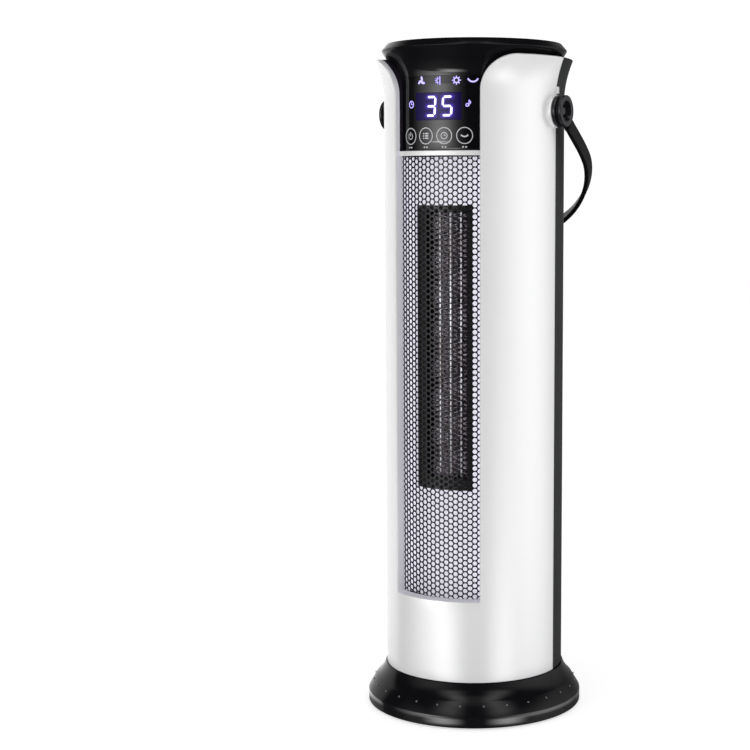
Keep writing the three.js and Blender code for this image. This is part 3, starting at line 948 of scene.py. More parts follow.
class HEATER_OT_grille(bpy.types.Operator):
    """Builds the curved sheet with its staggered round holes"""

    bl_idname = "heater.grille"
    bl_label = "Grille"

    def execute(self, context):
        s = sizes()
        low, high = node_box("grille")
        pitch, radius = in_mm(s.hole_pitch), in_mm(s.hole_size) / 2
        step = pitch * math.sqrt(3) / 2
        face = in_mm(s.grille_radius) - 0.4
        pairs = round(math.radians(33.4) * face / step)
        start = low.z - 2.6
        rows = math.ceil((high.z - start) / pitch)
        cell = self.cell(step, pitch, radius)
        modify(cell, "ARRAY", count=rows, use_relative_offset=False, use_constant_offset=True,
               constant_offset_displace=(0, 0, pitch), use_merge_vertices=True, merge_threshold=0.01)
        odd = cell.copy()
        odd.data = cell.data.copy()
        bpy.context.collection.objects.link(odd)
        odd.data.transform(Matrix.Translation((step, 0, pitch / 2)))
        pair = joined("perforated_sheet", [cell, odd])
        modify(pair, "ARRAY", count=pairs, use_relative_offset=False, use_constant_offset=True,
               constant_offset_displace=(2 * step, 0, 0), use_merge_vertices=True, merge_threshold=0.01)
        pair.data.transform(Matrix.Translation((-(pairs - 0.5) * step - 0.7, 0, start)))
        for height, above in ((low.z, False), (high.z, True)):
            self.trim(pair, height, above)
        cleaned(pair)
        wrapped(pair, face)
        for face_polygon in pair.data.polygons:
            face_polygon.use_smooth = True
        outward = pair.data.polygons[0]
        if outward.normal.dot(Vector((outward.center.x, outward.center.y, 0))) < 0:
            pair.data.flip_normals()
        thickened(pair, 0.75)
        placed(pair, "tower", "grille_black", material(grille_paint), "grille", smooth=40)
        return {"FINISHED"}

    def trim(self, obj, height, above):
        """Cuts off what lies above or below a height."""
        only(obj)
        bpy.ops.object.mode_set(mode="EDIT")
        bpy.ops.mesh.select_all(action="SELECT")
        bpy.ops.mesh.bisect(
            plane_co=(0, 0, height), plane_no=(0, 0, 1), clear_outer=above, clear_inner=not above,
        )
        bpy.ops.object.mode_set(mode="OBJECT")

    def cell(self, step, pitch, radius):
        """One hole in a rectangle of sheet, in the XZ plane."""
        deselected()
        bpy.ops.mesh.primitive_circle_add(vertices=12, radius=radius, rotation=(math.pi / 2, 0, 0))
        obj = started("cell")
        bpy.ops.object.transform_apply(location=False, rotation=True, scale=False)
        bpy.ops.object.mode_set(mode="EDIT")
        bpy.ops.mesh.select_mode(type="VERT")
        bpy.ops.mesh.select_all(action="SELECT")
        bpy.ops.mesh.extrude_region_move(TRANSFORM_OT_translate={"value": (0, 0, 0)})
        bpy.ops.transform.resize(value=(2, 2, 2))
        bpy.ops.object.mode_set(mode="OBJECT")
        for vertex in obj.data.vertices:
            if vertex.co.length > radius * 1.5:
                vertex.co = self.to_edge(vertex.co, step / 2, pitch / 2)
        for vertex in obj.data.vertices:
            vertex.co.z += pitch / 2
        return obj

    def to_edge(self, point, half_width, half_height):
        """Pushes a point outwards onto the cell's rectangle, in twelve even shares."""
        turn = round(math.degrees(math.atan2(point.z, point.x)) / 30) % 12
        lift = half_height
        spots = {
            0: (1, 0), 1: (1, 1), 2: (0.5, 1), 3: (0, 1), 4: (-0.5, 1), 5: (-1, 1),
            6: (-1, 0), 7: (-1, -1), 8: (-0.5, -1), 9: (0, -1), 10: (0.5, -1), 11: (1, -1),
        }
        across, up = spots[turn]
        return Vector((across * half_width, 0, up * lift))


class HEATER_OT_core(bpy.types.Operator):
    """Builds the folded fins and the bright bars of the heating core"""

    bl_idname = "heater.core"
    bl_label = "Heating core"

    def execute(self, context):
        for i in range(1, 5):
            self.fins(f"fin_stack_{i}", f"folded_fins_{i}")
        for i in range(1, 4):
            self.bar(f"heating_bar_{i}", f"bright_bar_{i}")
        # Painted shade: the core frame gets a black far darker than the other inner black parts, so the deep
        # well behind the grille reads dark.
        tunnel = frame["nodes"]["core_frame"].data.materials
        tunnel.clear()
        tunnel.append(material(spark_black, "tunnel_black", (0.0035, 0.0035, 0.004), 0.5))
        return {"FINISHED"}

    def fins(self, node, name):
        """A strip of sheet folded back and forth up the stack."""
        low, high = node_box(node)
        pitch, gauge = 4.4, 0.3
        folds = int((high.z - low.z - 0.6) / (pitch / 2))
        heights = [low.z + 0.3 + i * pitch / 2 for i in range(folds + 1)]
        inset = gauge
        sides = (low.x + inset, high.x - inset)

        def place(index, y):
            return Vector((sides[index % 2], y, heights[index]))

        strip = grid(name, list(range(folds + 1)), [low.y + 0.1, high.y - 0.1], place)
        thickened(strip, gauge, 0.0)
        placed(strip, "tower", "fin_aluminium", material(fin_metal), node, smooth=20)

    def bar(self, node, name):
        """A flat tube with rounded edges."""
        low, high = node_box(node)
        bar = block(name, (low + high) / 2, high - low)
        bevelled(bar, 0.6, 3)
        placed(bar, "tower", "bar_ceramic", material(bar_metal), node)


# ---------------------------------------------------------------- control panel


KEY_TURNS = [-0.35 + 14.4 * (i - 1.5) for i in range(4)]
KEY_Z = 517.3
PRINT_LIFT = 0.12


class Draughtsman:
    """Draws flat symbols as thin raised shapes and bends them onto the panel."""

    def __init__(self, turn, height):
        self.face = in_mm(sizes().face_radius)
        self.x = math.radians(turn) * self.face
        self.z = height
        self.shapes = []

    def keep(self, obj):
        self.shapes.append(obj)
        return obj

    def ring(self, radius, stroke, start=0.0, sweep=360.0, x=0.0, z=0.0):
        """A ring or an arc, in degrees from +X towards +Z."""
        count = max(6, int(sweep / 7.5))
        rims = [radius - stroke, radius]

        def place(step, r):
            turn = math.radians(start - sweep * step / count)
            return Vector((x + r * math.cos(turn), 0, z + r * math.sin(turn)))

        return self.keep(grid("ring", list(range(count + 1)), rims, place))

    def disc(self, radius, x=0.0, z=0.0, squash=1.0, turn=0.0):
        """A filled disc or ellipse."""
        deselected()
        bpy.ops.mesh.primitive_circle_add(vertices=24, radius=radius, fill_type="NGON")
        obj = started("disc")
        move = Matrix.Translation((x, 0, z)) @ Matrix.Rotation(math.radians(-turn), 4, "Y")
        shape = Matrix.Diagonal((1, 1, squash, 1)) @ Matrix.Rotation(math.radians(90), 4, "X")
        obj.data.transform(move @ shape)
        return self.keep(obj)

    def bar(self, start, end, stroke):
        """A straight stroke with pointed ends."""
        a, b = Vector((start[0], 0, start[1])), Vector((end[0], 0, end[1]))
        along = (b - a).normalized()
        side = Vector((-along.z, 0, along.x)) * stroke / 2
        share = min(0.45, stroke / 2 / (b - a).length)
        stations = [0.0, share] + spaced(share, 1 - share, 3)[1:-1] + [1 - share, 1.0]

        def place(t, offset):
            width = 0.15 if t in (0.0, 1.0) else 1.0
            return a.lerp(b, t) + side * offset * width

        return self.keep(grid("bar", stations, [-1.0, 1.0], place))

    def finished(self, name, finish, slot, lift=PRINT_LIFT):
        """Joins the shapes, gives them thickness and lays them on the panel."""
        mark = joined(name, self.shapes)
        only(mark)
        bpy.ops.object.mode_set(mode="EDIT")
        bpy.ops.mesh.select_all(action="SELECT")
        bpy.ops.mesh.normals_make_consistent(inside=False)
        bpy.ops.object.mode_set(mode="OBJECT")
        modify(mark, "SOLIDIFY", thickness=lift, offset=0.0)
        mark.data.transform(Matrix.Translation((self.x, -lift, self.z)))
        wrapped(mark, self.face)
        return placed(mark, "tower", slot, finish)


SEGMENTS = {"3": "abcdg", "5": "acdfg"}
DIGIT_WIDE = 8.2
DIGIT_TALL = 15.8
DIGIT_SLANT = 0.07
DIGIT_STROKE = 1.85
WINDOW_TURN = 1.4
DIGIT_SPOTS = (("3", -5.8), ("5", 9.7))
WINDOW_Z = 542.5


def segment_lines(figure, middle):
    """Ends of a figure's lit segments, as (x, z) pairs about the window's centre."""
    half, tall, cut = DIGIT_WIDE / 2, DIGIT_TALL / 2, 0.55
    corners = {
        "a": ((-half, tall), (half, tall)), "b": ((half, tall), (half, 0)), "c": ((half, 0), (half, -tall)),
        "d": ((-half, -tall), (half, -tall)), "e": ((-half, 0), (-half, -tall)),
        "f": ((-half, tall), (-half, 0)),
        "g": ((-half, 0), (half, 0)),
    }
    lines = []
    for key in SEGMENTS[figure]:
        (x0, z0), (x1, z1) = corners[key]
        span = math.hypot(x1 - x0, z1 - z0)
        dx, dz = (x1 - x0) / span * cut, (z1 - z0) / span * cut
        ends = [(x0 + dx, z0 + dz), (x1 - dx, z1 - dz)]
        lines.append([(middle + x + z * DIGIT_SLANT, z) for x, z in ends])
    return lines


def spoke(turn, inner, outer):
    """Both ends of a line that points away from a symbol's middle."""
    reach = math.radians(turn)
    return [(radius * math.cos(reach), radius * math.sin(reach)) for radius in (inner, outer)]


def distance_to(point, line):
    """Distance from a point to a stretch of line, both in the plane of the display."""
    (x0, z0), (x1, z1) = line
    dx, dz = x1 - x0, z1 - z0
    share = ((point[0] - x0) * dx + (point[1] - z0) * dz) / (dx * dx + dz * dz)
    share = max(0.0, min(1.0, share))
    return math.hypot(point[0] - x0 - share * dx, point[1] - z0 - share * dz)


class HEATER_OT_panel(bpy.types.Operator):
    """Builds the gloss control panel with its lit window, figures, symbols and key rings"""

    bl_idname = "heater.panel"
    bl_label = "Control panel"

    def execute(self, context):
        face = in_mm(sizes().face_radius)
        low, high = node_box("control_panel")
        lens = grid("panel_lens", spaced(-59.8, 59.8, 96), spaced(low.z, high.z + 0.4, 8),
                    lambda turn, z: on_face(turn, z, face))
        thickened(lens, 2.2)
        bevelled(lens, 0.25, 2)
        placed(lens, "tower", "panel_black", material(lens_black), "control_panel")
        self.window(face)
        self.figures()
        self.lit_symbols()
        self.keys()
        return {"FINISHED"}

    def window(self, face):
        """Thin lit sheet with a glow attribute that falls off from the figures."""
        wide, tall = 45.0, 23.8
        middle = math.radians(WINDOW_TURN) * face
        lines = [line for figure, x in DIGIT_SPOTS for line in segment_lines(figure, x)]
        sheet = grid("display_window", spaced(-wide / 2, wide / 2, 124), spaced(-tall / 2, tall / 2, 66),
                     lambda x, z: Vector((x, 0, z)))
        glow = sheet.data.attributes.new("glow", "FLOAT", "POINT")
        for vertex, item in zip(sheet.data.vertices, glow.data):
            near = min(distance_to((vertex.co.x, vertex.co.z), line) for line in lines)
            fade = max(0.0, near - DIGIT_STROKE / 2)
            edge = min(1.0, (wide / 2 - abs(vertex.co.x)) / 3) * min(1.0, (tall / 2 - abs(vertex.co.z)) / 2)
            item.value = 0.9 * math.exp(-fade / 1.35) * edge + 0.06 * edge
        sheet.data.transform(Matrix.Translation((middle, -0.04, WINDOW_Z)))
        wrapped(sheet, face)
        thickened(sheet, 0.03)
        placed(sheet, "tower", "display_blue", material(digit_window), "display_module")

    def figures(self):
        pen = Draughtsman(WINDOW_TURN, WINDOW_Z)
        for figure, x in DIGIT_SPOTS:
            for start, end in segment_lines(figure, x):
                pen.bar(start, end, DIGIT_STROKE)
        pen.finished("lit_figures", material(lit, "figure_glow", (0.88, 0.84, 1.0), 1.0), "display_blue")

    def lit_symbols(self):
        glow = material(lit, "symbol_glow", tuple(colours().lavender), 1.0)
        fan = Draughtsman(-11.1, 564.2)
        for turn in (80, 200, 320):
            reach = math.radians(turn)
            fan.disc(2.1, 2.2 * math.cos(reach), 2.2 * math.sin(reach), 0.5, turn + 25)
        fan.disc(0.9)
        fan.finished("symbol_fan", glow, "display_blue")
        half_sun = Draughtsman(2.9, 564.2)
        half_sun.ring(2.1, 0.7, 270, 180)
        half_sun.bar((1.2, -3.8), (1.2, 3.8), 0.7)
        for turn in (112, 147, 180, 213, 248):
            half_sun.bar(*spoke(turn, 2.4, 3.5), 0.65)
        half_sun.finished("symbol_low_heat", glow, "display_blue")
        sun = Draughtsman(15.7, 564.2)
        sun.ring(2.5, 0.9)
        for i in range(8):
            sun.bar(*spoke(i * 45, 2.3, 3.9), 0.95)
        sun.finished("symbol_high_heat", glow, "display_blue")
        swing = Draughtsman(27.0, 567.6)
        swing.ring(5.4, 1.3, -25, 130)
        swing.finished("symbol_swing", glow, "display_blue")
        clock = Draughtsman(-21.0, 544.7)
        clock.ring(3.2, 0.7)
        clock.bar((0, -0.2), (0, 2.1), 0.6)
        clock.bar((-0.2, 0), (1.9, 0), 0.6)
        clock.finished("symbol_timer", glow, "display_blue")
        mode = Draughtsman(23.8, 544.4)
        mode.ring(1.5, 0.7, x=-0.9, z=-1.2)
        mode.bar((0.6, -2.2), (0.6, 3.0), 0.7)
        mode.bar((0.5, 3.0), (2.2, 1.2), 0.7)
        mode.bar((2.1, 1.4), (1.6, -0.4), 0.7)
        mode.finished("symbol_mode", glow, "display_blue")

    def keys(self):
        ink = material(silver_print_glow)
        for i, turn in enumerate(KEY_TURNS):
            ring = Draughtsman(turn, KEY_Z)
            ring.ring(7.25, 0.7)
            getattr(self, ("key_power", "key_menu", "key_timer", "key_swing")[i])(ring)
            ring.finished(f"key_mark_{i + 1}", ink, "panel_black")
            dash = Draughtsman(turn, 507.6)
            dash.bar((-2.3, 0), (-0.4, 0), 1.5)
            dash.bar((0.4, 0), (2.3, 0), 1.5)
            dash.finished(f"key_dash_{i + 1}", ink, "panel_black")

    def key_power(self, pen):
        pen.ring(2.9, 0.6, 60, 300)
        pen.bar((0, 0), (0, 3.9), 0.7)

    def key_menu(self, pen):
        for z in (-2, 0, 2):
            pen.bar((-3.0, z), (-1.4, z), 1.2)
            pen.bar((-0.8, z), (3.0, z), 1.2)

    def key_timer(self, pen):
        pen.ring(3.1, 0.6)
        pen.bar((0, -0.2), (0, 2.0), 0.55)
        pen.bar((-0.2, 0), (1.7, 0), 0.55)

    def key_swing(self, pen):
        pen.ring(4.6, 1.1, -40, 100, z=3.2)


# ---------------------------------------------------------------- base


class HEATER_OT_base(bpy.types.Operator):
    """Builds the bell-shaped base with its ring of pips, the foot pad and the cord gland"""

    bl_idname = "heater.base"
    bl_label = "Base"

    def execute(self, context):
        outer = -node_box("base_cover")[0].y
        top = node_box("base_cover")[1].z
        band = BASE_BAND
        slope = (91.3, 22.3)
        cove = self.curve(slope, (84.9, 27.8), (82.2, top), 14)
        foot = filleted([(95.8, 0.9), (outer, 0.9), (outer, band), slope], 0.7, 4)
        deck = [(81.6, top), (76.6, top), (76.6, 34.9), (62, 34.9), (62, 32.4), (79.6, 32.4)]
        inside = [(88.9, 20.7), (95.6, 11), (95.8, 0.9)]
        cover = turned("base_moulding", foot[:-1] + cove + filleted(deck, 0.4, 2) + inside, 192)
        placed(cover, "base", "black_gloss", material(piano_black), "base_cover")
        # Painted highlight: the pips are coloured mid grey against the black base so they read as the glints
        # on the small domes.
        finish = material(piano_black, "pip_grey", 0.25, (0.16, 0.16, 0.17), 0.0)
        placed(joined("base_pips", self.pips()), "base", "black_gloss", finish)
        pad = turned("foot_mat", filleted([(0, 0), (70, 0), (70.6, 0.5), (73, 0.5), (73.6, 0), (93.6, 0),
                                           (93.8, 2.4), (0, 2.4)], 0.4, 3), 128)
        self.pierce(pad)
        placed(pad, "base", "rubber_black", material(soft_rubber), "foot_pad")
        gland = turned("cord_grommet", filleted([(3.3, 90), (4.5, 90), (4.5, 98.4), (6.1, 98.4), (6.1, 101),
                                                 (3.3, 101), (3.3, 90)], 0.5, 3), 48)
        laid_along_y(gland, 0, 10.4)
        placed(gland, "base", "rubber_black", material(soft_rubber), "cord_gland")
        return {"FINISHED"}

    def pierce(self, pad):
        """Opens the pad for the tip-over plunger and the four screws."""
        holes = [(0, node_box("tip_plunger")[0].y + 4.2, 5.0)]
        for i in range(1, 5):
            low, high = node_box(f"base_screw_{i}")
            holes.append(((low.x + high.x) / 2, (low.y + high.y) / 2, 4.1))
        for x, y, radius in holes:
            deselected()
            bpy.ops.mesh.primitive_cylinder_add(vertices=32, radius=radius, depth=12, location=(x, y, 1))
            cutter = started("drill")
            modify(pad, "BOOLEAN", operation="DIFFERENCE", object=cutter, solver="EXACT")
            bpy.data.objects.remove(cutter)

    def curve(self, start, control, end, steps):
        a, b, c = Vector(start), Vector(control), Vector(end)
        points = []
        for i in range(steps + 1):
            t = i / steps
            points.append(tuple(a * (1 - t) ** 2 + b * (2 * t * (1 - t)) + c * t * t))
        return points

    def pips(self):
        """Small domes in a ring on the shoulder."""
        count, ring, height = 28, 93.2, 19.2
        pips = []
        for i in range(count):
            turn = math.radians(7.3) + TAU * i / count
            deselected()
            bpy.ops.mesh.primitive_uv_sphere_add(segments=12, ring_count=8, radius=0.9)
            pip = started("pip")
            pip.data.transform(Matrix.Translation((ring * math.sin(turn), -ring * math.cos(turn), height)))
            pips.append(pip)
        return pips


# ---------------------------------------------------------------- handle


STRAP_HUB = 87.7
HUB_RADIUS = 13.8
STRAP_SPAN = 93.9
STRAP_ARM = 55.5
STRAP_LENGTH = 148.3
STRAP_ROUND = 1.71


def strap_line():
    """The strap's centre line from hub to hub, as (across, away from the pivot axis)."""
    right = []
    for i in range(9, 33):
        share = i / 33
        swell = 0.5 - 0.5 * math.cos(math.pi * share)
        right.append((STRAP_HUB + (STRAP_SPAN - STRAP_HUB) * swell, STRAP_ARM * share))
    for i in range(49):
        turn = math.pi / 2 * i / 48
        across, along = math.cos(turn) ** (2 / STRAP_ROUND), math.sin(turn) ** (2 / STRAP_ROUND)
        right.append((STRAP_SPAN * across, STRAP_ARM + (STRAP_LENGTH - STRAP_ARM) * along))
    return right + [(-x, r) for x, r in reversed(right[:-1])]


class HEATER_OT_handle(bpy.types.Operator):
    """Builds the strap handle and its round hubs"""

    bl_idname = "heater.handle"
    bl_label = "Handle"

    def execute(self, context):
        s = sizes()
        width = in_mm(s.strap_width)
        line = strap_line()
        strap = grid("strap", list(range(len(line))), spaced(-width / 2, width / 2, 6),
                     lambda i, w: Vector((line[i][0], w, -line[i][1])))
        thickened(strap, in_mm(s.strap_thickness), 0.0)
        bevelled(strap, 1.35, 4, 50)
        pieces = [strap]
        ring = [(5.9, 86.55), (12.6, 86.55), (12.6, 88.85), (5.9, 88.85), (5.9, 86.55)]
        for side in (-1, 1):
            eye = turned("eye", filleted(ring, 0.5, 3), 64)
            eye.data.transform(Matrix.Rotation(math.radians(90 * side), 4, "Y"))
            place = (side * STRAP_HUB, 0, -13)
            neck = block("neck", place, (2.3, width - 0.6, 9))
            bevelled(neck, 0.5, 2)
            pieces += [eye, neck]
        handle = joined("bail_strap", pieces)
        tilt = Matrix.Rotation(s.strap_tilt, 4, "X")
        handle.data.transform(Matrix.Translation((0, 0, PIVOT_Z)) @ tilt)
        placed(handle, "handle", "handle_black", material(strap_black), "handle_strap")
        for side, word in ((-1, "left"), (1, "right")):
            self.hub(side, word)
        return {"FINISHED"}

    def hub(self, side, word):
        """The round seat with its stud, and the ring that closes the hub."""
        polish = material(hub_polish)
        outline = [(0, 82.8), (HUB_RADIUS, 82.8), (HUB_RADIUS, 86.2), (5.4, 86.2), (3.4, 89.1), (0, 89.6)]
        seat = turned("seat", filleted(outline, 0.8, 4), 64)
        placed(laid_along_x(seat, side, PIVOT_Z), "tower", "hub_gloss", polish, f"pivot_stud_{word}")
        seat.name = f"pivot_seat_{word}"
        outline = [(8.0, 89.2), (HUB_RADIUS, 89.2), (HUB_RADIUS, 91.9), (9.0, 91.9), (8.0, 89.2)]
        cap = turned("cap", filleted(outline, 0.7, 4), 64)
        placed(laid_along_x(cap, side, PIVOT_Z), "tower", "hub_gloss", polish, f"hub_cap_{word}")
        cap.name = f"hub_ring_{word}"


# ---------------------------------------------------------------- rear fittings


BEZEL_THICK = 1.7
BEZEL_LIP = 3.9
BEZEL_POCKET = 7
ROCKER_SLOPE = 0.1636
ROCKER_TILT = 10
SCREW_RADIUS = 3.3
SCREW_HIGH = 1.7


class HEATER_OT_fittings(bpy.types.Operator):
    """Builds the rear switch, the screws and the tip-over plunger, and finishes the inner parts"""

    bl_idname = "heater.fittings"
    bl_label = "Fittings"

    def execute(self, context):
        self.switch()
        self.rear_screws()
        self.base_screws()
        self.plunger()
        self.inner_parts()
        return {"FINISHED"}

    def switch(self):
        low, high = node_box("switch_housing")
        middle = (low + high) / 2
        plate = (high.x - low.x, BEZEL_THICK, high.z - low.z)
        bezel = block("switch_bezel", (0, high.y - BEZEL_THICK / 2, middle.z), plate)
        bpy.context.tool_settings.mesh_select_mode = (False, False, True)
        select_faces(bezel, lambda centre, normal: normal.y > 0.9)
        only(bezel)
        bpy.ops.object.mode_set(mode="EDIT")
        bpy.ops.mesh.select_mode(type="FACE")
        bpy.ops.mesh.inset(thickness=BEZEL_LIP)
        bpy.ops.mesh.extrude_region_move(TRANSFORM_OT_translate={"value": (0, -BEZEL_POCKET, 0)})
        bpy.ops.object.mode_set(mode="OBJECT")
        bevelled(bezel, 0.5, 3)
        placed(bezel, "tower", "black_gloss", material(piano_black, "switch_black", 0.28), "switch_housing")
        self.rocker()

    def rocker(self):
        """A two-faced rocker with a raised bar and a raised ring as its marks."""
        low, high = node_box("switch_housing")
        pivot = Vector((0, high.y - 3.6, (low.z + high.z) / 2))
        sections = [(-11, 3.6), (-7.3, 2.85), (-3.6, 2.1), (0, 1.8), (3.6, 2.1), (7.3, 2.85), (11, 3.6)]
        top = grid("rocker", spaced(-7.9, 7.9, 6), [z for z, _ in sections],
                   lambda x, z: Vector((-x, dict(sections)[z], z)))
        thickened(top, 5.5)
        bevelled(top, 0.5, 3)
        bar = Draughtsman(0, 0)
        bar.bar((0, -7.8), (0, -4.2), 1.0)
        bar.ring(1.9, 0.7, z=6)
        marks = joined("marks", bar.shapes)
        cleaned(marks)
        modify(marks, "SOLIDIFY", thickness=0.3, offset=0.0)
        for vertex in marks.data.vertices:
            vertex.co.y += 1.8 + abs(vertex.co.z) * ROCKER_SLOPE + PRINT_LIFT
        tilt = Matrix.Translation(pivot) @ Matrix.Rotation(math.radians(ROCKER_TILT), 4, "X")
        for piece in (top, marks):
            piece.data.transform(tilt)
        placed(top, "rocker", "black_gloss", material(piano_black, "switch_black", 0.28), "power_rocker")
        top.name = "rocker_button"
        placed(marks, "rocker", "black_gloss", material(silver_print_glow))
        marks.name = "rocker_marks"

    def screw_head(self, name, radius, height):
        """Pan head with a cross recess, made along +Z from its underside."""
        outline = [(0, 0), (radius, 0), (radius, height * 0.5), (radius * 0.6, height), (0, height)]
        head = turned(name, filleted(outline, radius * 0.3, 4), 32)
        cross = (radius * 1.2, radius * 0.26, height * 0.9)
        cutters = []
        for turn in (0, 90):
            cutter = block("cross", (0, 0, height), cross)
            cutter.data.transform(Matrix.Rotation(math.radians(turn), 4, "Z"))
            cutters.append(cutter)
        for cutter in cutters:
            modify(head, "BOOLEAN", operation="DIFFERENCE", object=cutter, solver="EXACT")
            bpy.data.objects.remove(cutter)
        return head

    def rear_screws(self):
        for i in range(1, 5):
            node = f"shell_screw_{i}"
            low, high = node_box(node)
            middle = (low + high) / 2
            turn = math.degrees(math.atan2(-middle.x, middle.y))
            head = self.screw_head(f"rear_screw_{i}", SCREW_RADIUS, SCREW_HIGH)
            head.data.transform(Matrix.Translation((0, 0, in_mm(sizes().body_radius) + 0.1)))
            placed(laid_along_y(head, turn, middle.z), "tower", "zinc_steel", material(zinc_steel), node)

    def base_screws(self):
        for i in range(1, 5):
            node = f"base_screw_{i}"
            low, high = node_box(node)
            head = self.screw_head(f"foot_screw_{i}", SCREW_RADIUS, SCREW_HIGH)
            flip = Matrix.Rotation(math.pi, 4, "X")
            head.data.transform(Matrix.Translation(((low.x + high.x) / 2, (low.y + high.y) / 2, 2.5)) @ flip)
            placed(head, "base", "zinc_steel", material(zinc_steel), node)

    def plunger(self):
        low, high = node_box("tip_plunger")
        middle = (low + high) / 2
        profile = filleted([(0, low.z), (4.1, low.z), (4.1, 2.6), (3, 2.6), (3, high.z), (0, high.z)], 0.8, 4)
        pin = turned("tip_pin", profile, 32)
        pin.data.transform(Matrix.Translation((middle.x, middle.y, 0)))
        placed(pin, "plunger", "nylon_natural", material(natural_nylon), "tip_plunger")

    def inner_parts(self):
        finishes = {
            "inner_black": material(spark_black, "inner_black", (0.02, 0.02, 0.021), 0.5),
            "zinc_steel": material(zinc_steel),
            "nylon_natural": material(natural_nylon),
            "board_green": material(solder_mask),
            "bush_brass": material(aged_brass),
            "fin_aluminium": material(fin_metal),
            "panel_black": material(lens_black),
        }
        slots = {part["node"]: part["material_slot"] for part in frame["record"]["subparts"]}
        for name, node in frame["nodes"].items():
            if node.hide_render or slots[name] not in finishes or name == "core_frame":
                continue
            node.data.materials.clear()
            node.data.materials.append(finishes[slots[name]])


# ---------------------------------------------------------------- stage


CAMERA_TURN = 27.8
CAMERA_REACH = 1.495
CAMERA_HEIGHT = 0.4717
CAMERA_DIP = 6.466
CAMERA_LENS = 78.8
CAMERA_SHIFT = -0.1323


WALL_LIGHT = 2.3
GLOW_LIGHT = 1.5
SPOT_LIGHT = 9.0
STRIP_LIGHT = 2.0
DARK_LIGHT = 0.04
FILL_LIGHT = 0.6
BACKDROP_LIGHT = 1.06


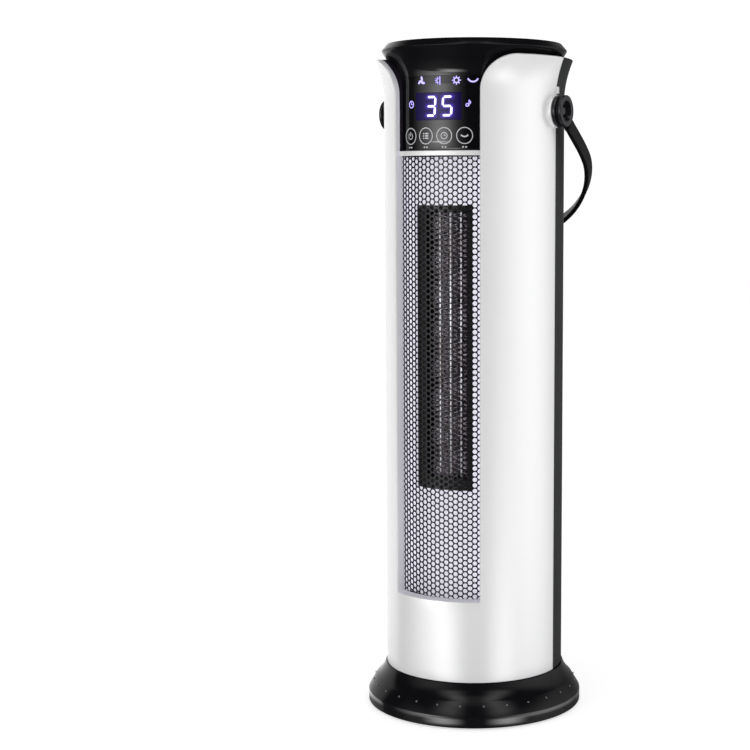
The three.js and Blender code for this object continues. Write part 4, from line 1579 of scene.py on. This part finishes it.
class HEATER_OT_stage(bpy.types.Operator):
    """Sets the floor, the soft lights and the camera"""

    bl_idname = "heater.stage"
    bl_label = "Stage"

    def execute(self, context):
        scene = context.scene
        scene.view_settings.view_transform = "Standard"
        self.camera(scene)
        self.floor()
        self.top_light()
        self.surroundings(scene)
        return {"FINISHED"}

    def camera(self, scene):
        turn = math.radians(CAMERA_TURN)
        place = (CAMERA_REACH * math.sin(turn), -CAMERA_REACH * math.cos(turn), CAMERA_HEIGHT)
        deselected()
        bpy.ops.object.camera_add(location=place, rotation=(math.radians(90 - CAMERA_DIP), 0, turn))
        camera = bpy.context.object
        camera.data.lens = CAMERA_LENS
        camera.data.sensor_width = 36
        camera.data.shift_x = CAMERA_SHIFT
        scene.camera = camera

    def floor(self):
        deselected()
        bpy.ops.mesh.primitive_plane_add(size=14, location=(0, 0, -0.0005))
        floor = started("floor")
        finish = Finish("pale_floor", roughness=0.6)
        finish.uneven((0.65, 0.65, 0.65), 0.015, 3)
        finish.set("Emission Color", (1.0, 1.0, 1.0, 1.0))
        finish.set("Emission Strength", 0.64)
        floor.data.materials.append(finish.material)
        floor.visible_glossy = False

    def top_light(self):
        """A broad soft light from above and in front."""
        around = math.radians(CAMERA_TURN)
        place = Vector((0.9 * math.sin(around), -0.9 * math.cos(around), 2.4))
        turn = (Vector((0, 0, 0.3)) - place).to_track_quat("-Z", "Y").to_euler()
        deselected()
        bpy.ops.object.light_add(type="AREA", location=place, rotation=turn)
        light = bpy.context.object
        light.name = "softbox_top"
        light.data.shape = "RECTANGLE"
        light.data.size, light.data.size_y = 1.8, 1.2
        light.data.energy = 6

    def surroundings(self, scene):
        """A studio: white for the camera, an even fill, and softboxes that only reflections see."""
        world = bpy.data.worlds.new("studio")
        world.use_nodes = True
        world.cycles.sampling_method = "NONE"
        scene.world = world
        sky = Shading(world.node_tree)
        turn = math.radians(CAMERA_TURN)
        ray = sky.output(sky.node("ShaderNodeTexCoord", {}, {}), "Generated")

        def along(axis):
            settings = {"operation": "DOT_PRODUCT"}
            return sky.output(sky.node("ShaderNodeVectorMath", settings, {0: ray, 1: axis}), "Value")

        def eased(value, low, high):
            settings = {"interpolation_type": "SMOOTHSTEP"}
            return sky.output(sky.node("ShaderNodeMapRange", settings, {0: value, 1: low, 2: high}))

        toward = along((math.sin(turn), -math.cos(turn), 0.0))
        right = along((math.cos(turn), math.sin(turn), 0.0))
        up = along((0.0, 0.0, 1.0))
        around = right.combined("ARCTAN2", right, toward)

        def softbox(middle, width):
            offset = around.combined("ABSOLUTE", around - math.radians(middle), 0.0)
            return 1.0 - eased(offset, 0.0, math.radians(width))

        walls = softbox(-54, 46) + softbox(75, 68)
        strips = softbox(-34, 27) + softbox(36, 27)
        low = eased(up, -0.26, -0.3) * eased(up, -0.42, -0.36) * 2.4
        high = eased(up, 0.55, 0.7) * eased(up, 0.995, 0.93) * 2.6
        middle = (1.0 - eased(up, 0.42, 0.7)) * (0.12 + 0.88 * eased(up, -0.312, -0.285))
        glow = softbox(-47, 26) * eased(up, 0.16, 0.06) * eased(up, -0.3, -0.1)
        spot = softbox(-50, 20) * eased(up.combined("ABSOLUTE", up + 0.005, 0.0), 0.035, 0.012)
        behind = eased(toward, -0.38, -0.52) * (0.2 + 0.9 * eased(right, 0.1, -0.1))
        reflected = (walls * WALL_LIGHT + behind) * middle + glow * GLOW_LIGHT + spot * SPOT_LIGHT
        reflected = reflected + strips * (low + high) * STRIP_LIGHT + DARK_LIGHT
        kind = sky.node("ShaderNodeLightPath", {}, {})
        glossy, camera = sky.output(kind, "Is Glossy Ray"), sky.output(kind, "Is Camera Ray")
        unseen = sky.between(glossy, 0.0, 1.0, FILL_LIGHT, reflected)
        strength = sky.between(camera, 0.0, 1.0, unseen, BACKDROP_LIGHT)
        background = sky.tree.nodes["Background"]
        sky.feed(background.inputs["Strength"], strength)
        background.inputs["Color"].default_value = (0.99, 0.99, 1.0, 1.0)


class HEATER_PT_sidebar(bpy.types.Panel):
    """Lists the heater's sizes, colours and pieces"""

    bl_idname = "HEATER_PT_sidebar"
    bl_label = "Tower Fan Heater"
    bl_space_type = "VIEW_3D"
    bl_region_type = "UI"
    bl_category = "Heater"

    def draw(self, context):
        layout = self.layout
        for group in (context.scene.heater_sizes, context.scene.heater_colours):
            box = layout.box()
            for name in group.__annotations__:
                box.prop(group, name)
        for piece in PIECES:
            layout.operator(piece.bl_idname)


PIECES = (
    HEATER_OT_stage, HEATER_OT_shells, HEATER_OT_cap, HEATER_OT_outlet, HEATER_OT_grille, HEATER_OT_core,
    HEATER_OT_panel, HEATER_OT_base, HEATER_OT_handle, HEATER_OT_fittings,
)
CLASSES = (HeaterSizes, HeaterColours, *PIECES, HEATER_PT_sidebar)


def register():
    for each in CLASSES:
        bpy.utils.register_class(each)
    bpy.types.Scene.heater_sizes = bpy.props.PointerProperty(type=HeaterSizes)
    bpy.types.Scene.heater_colours = bpy.props.PointerProperty(type=HeaterColours)


def unregister():
    del bpy.types.Scene.heater_colours
    del bpy.types.Scene.heater_sizes
    for each in reversed(CLASSES):
        bpy.utils.unregister_class(each)


def main():
    register()
    for piece in PIECES:
        group, name = piece.bl_idname.split(".")
        getattr(getattr(bpy.ops, group), name)()


if __name__ == "__main__":
    main()
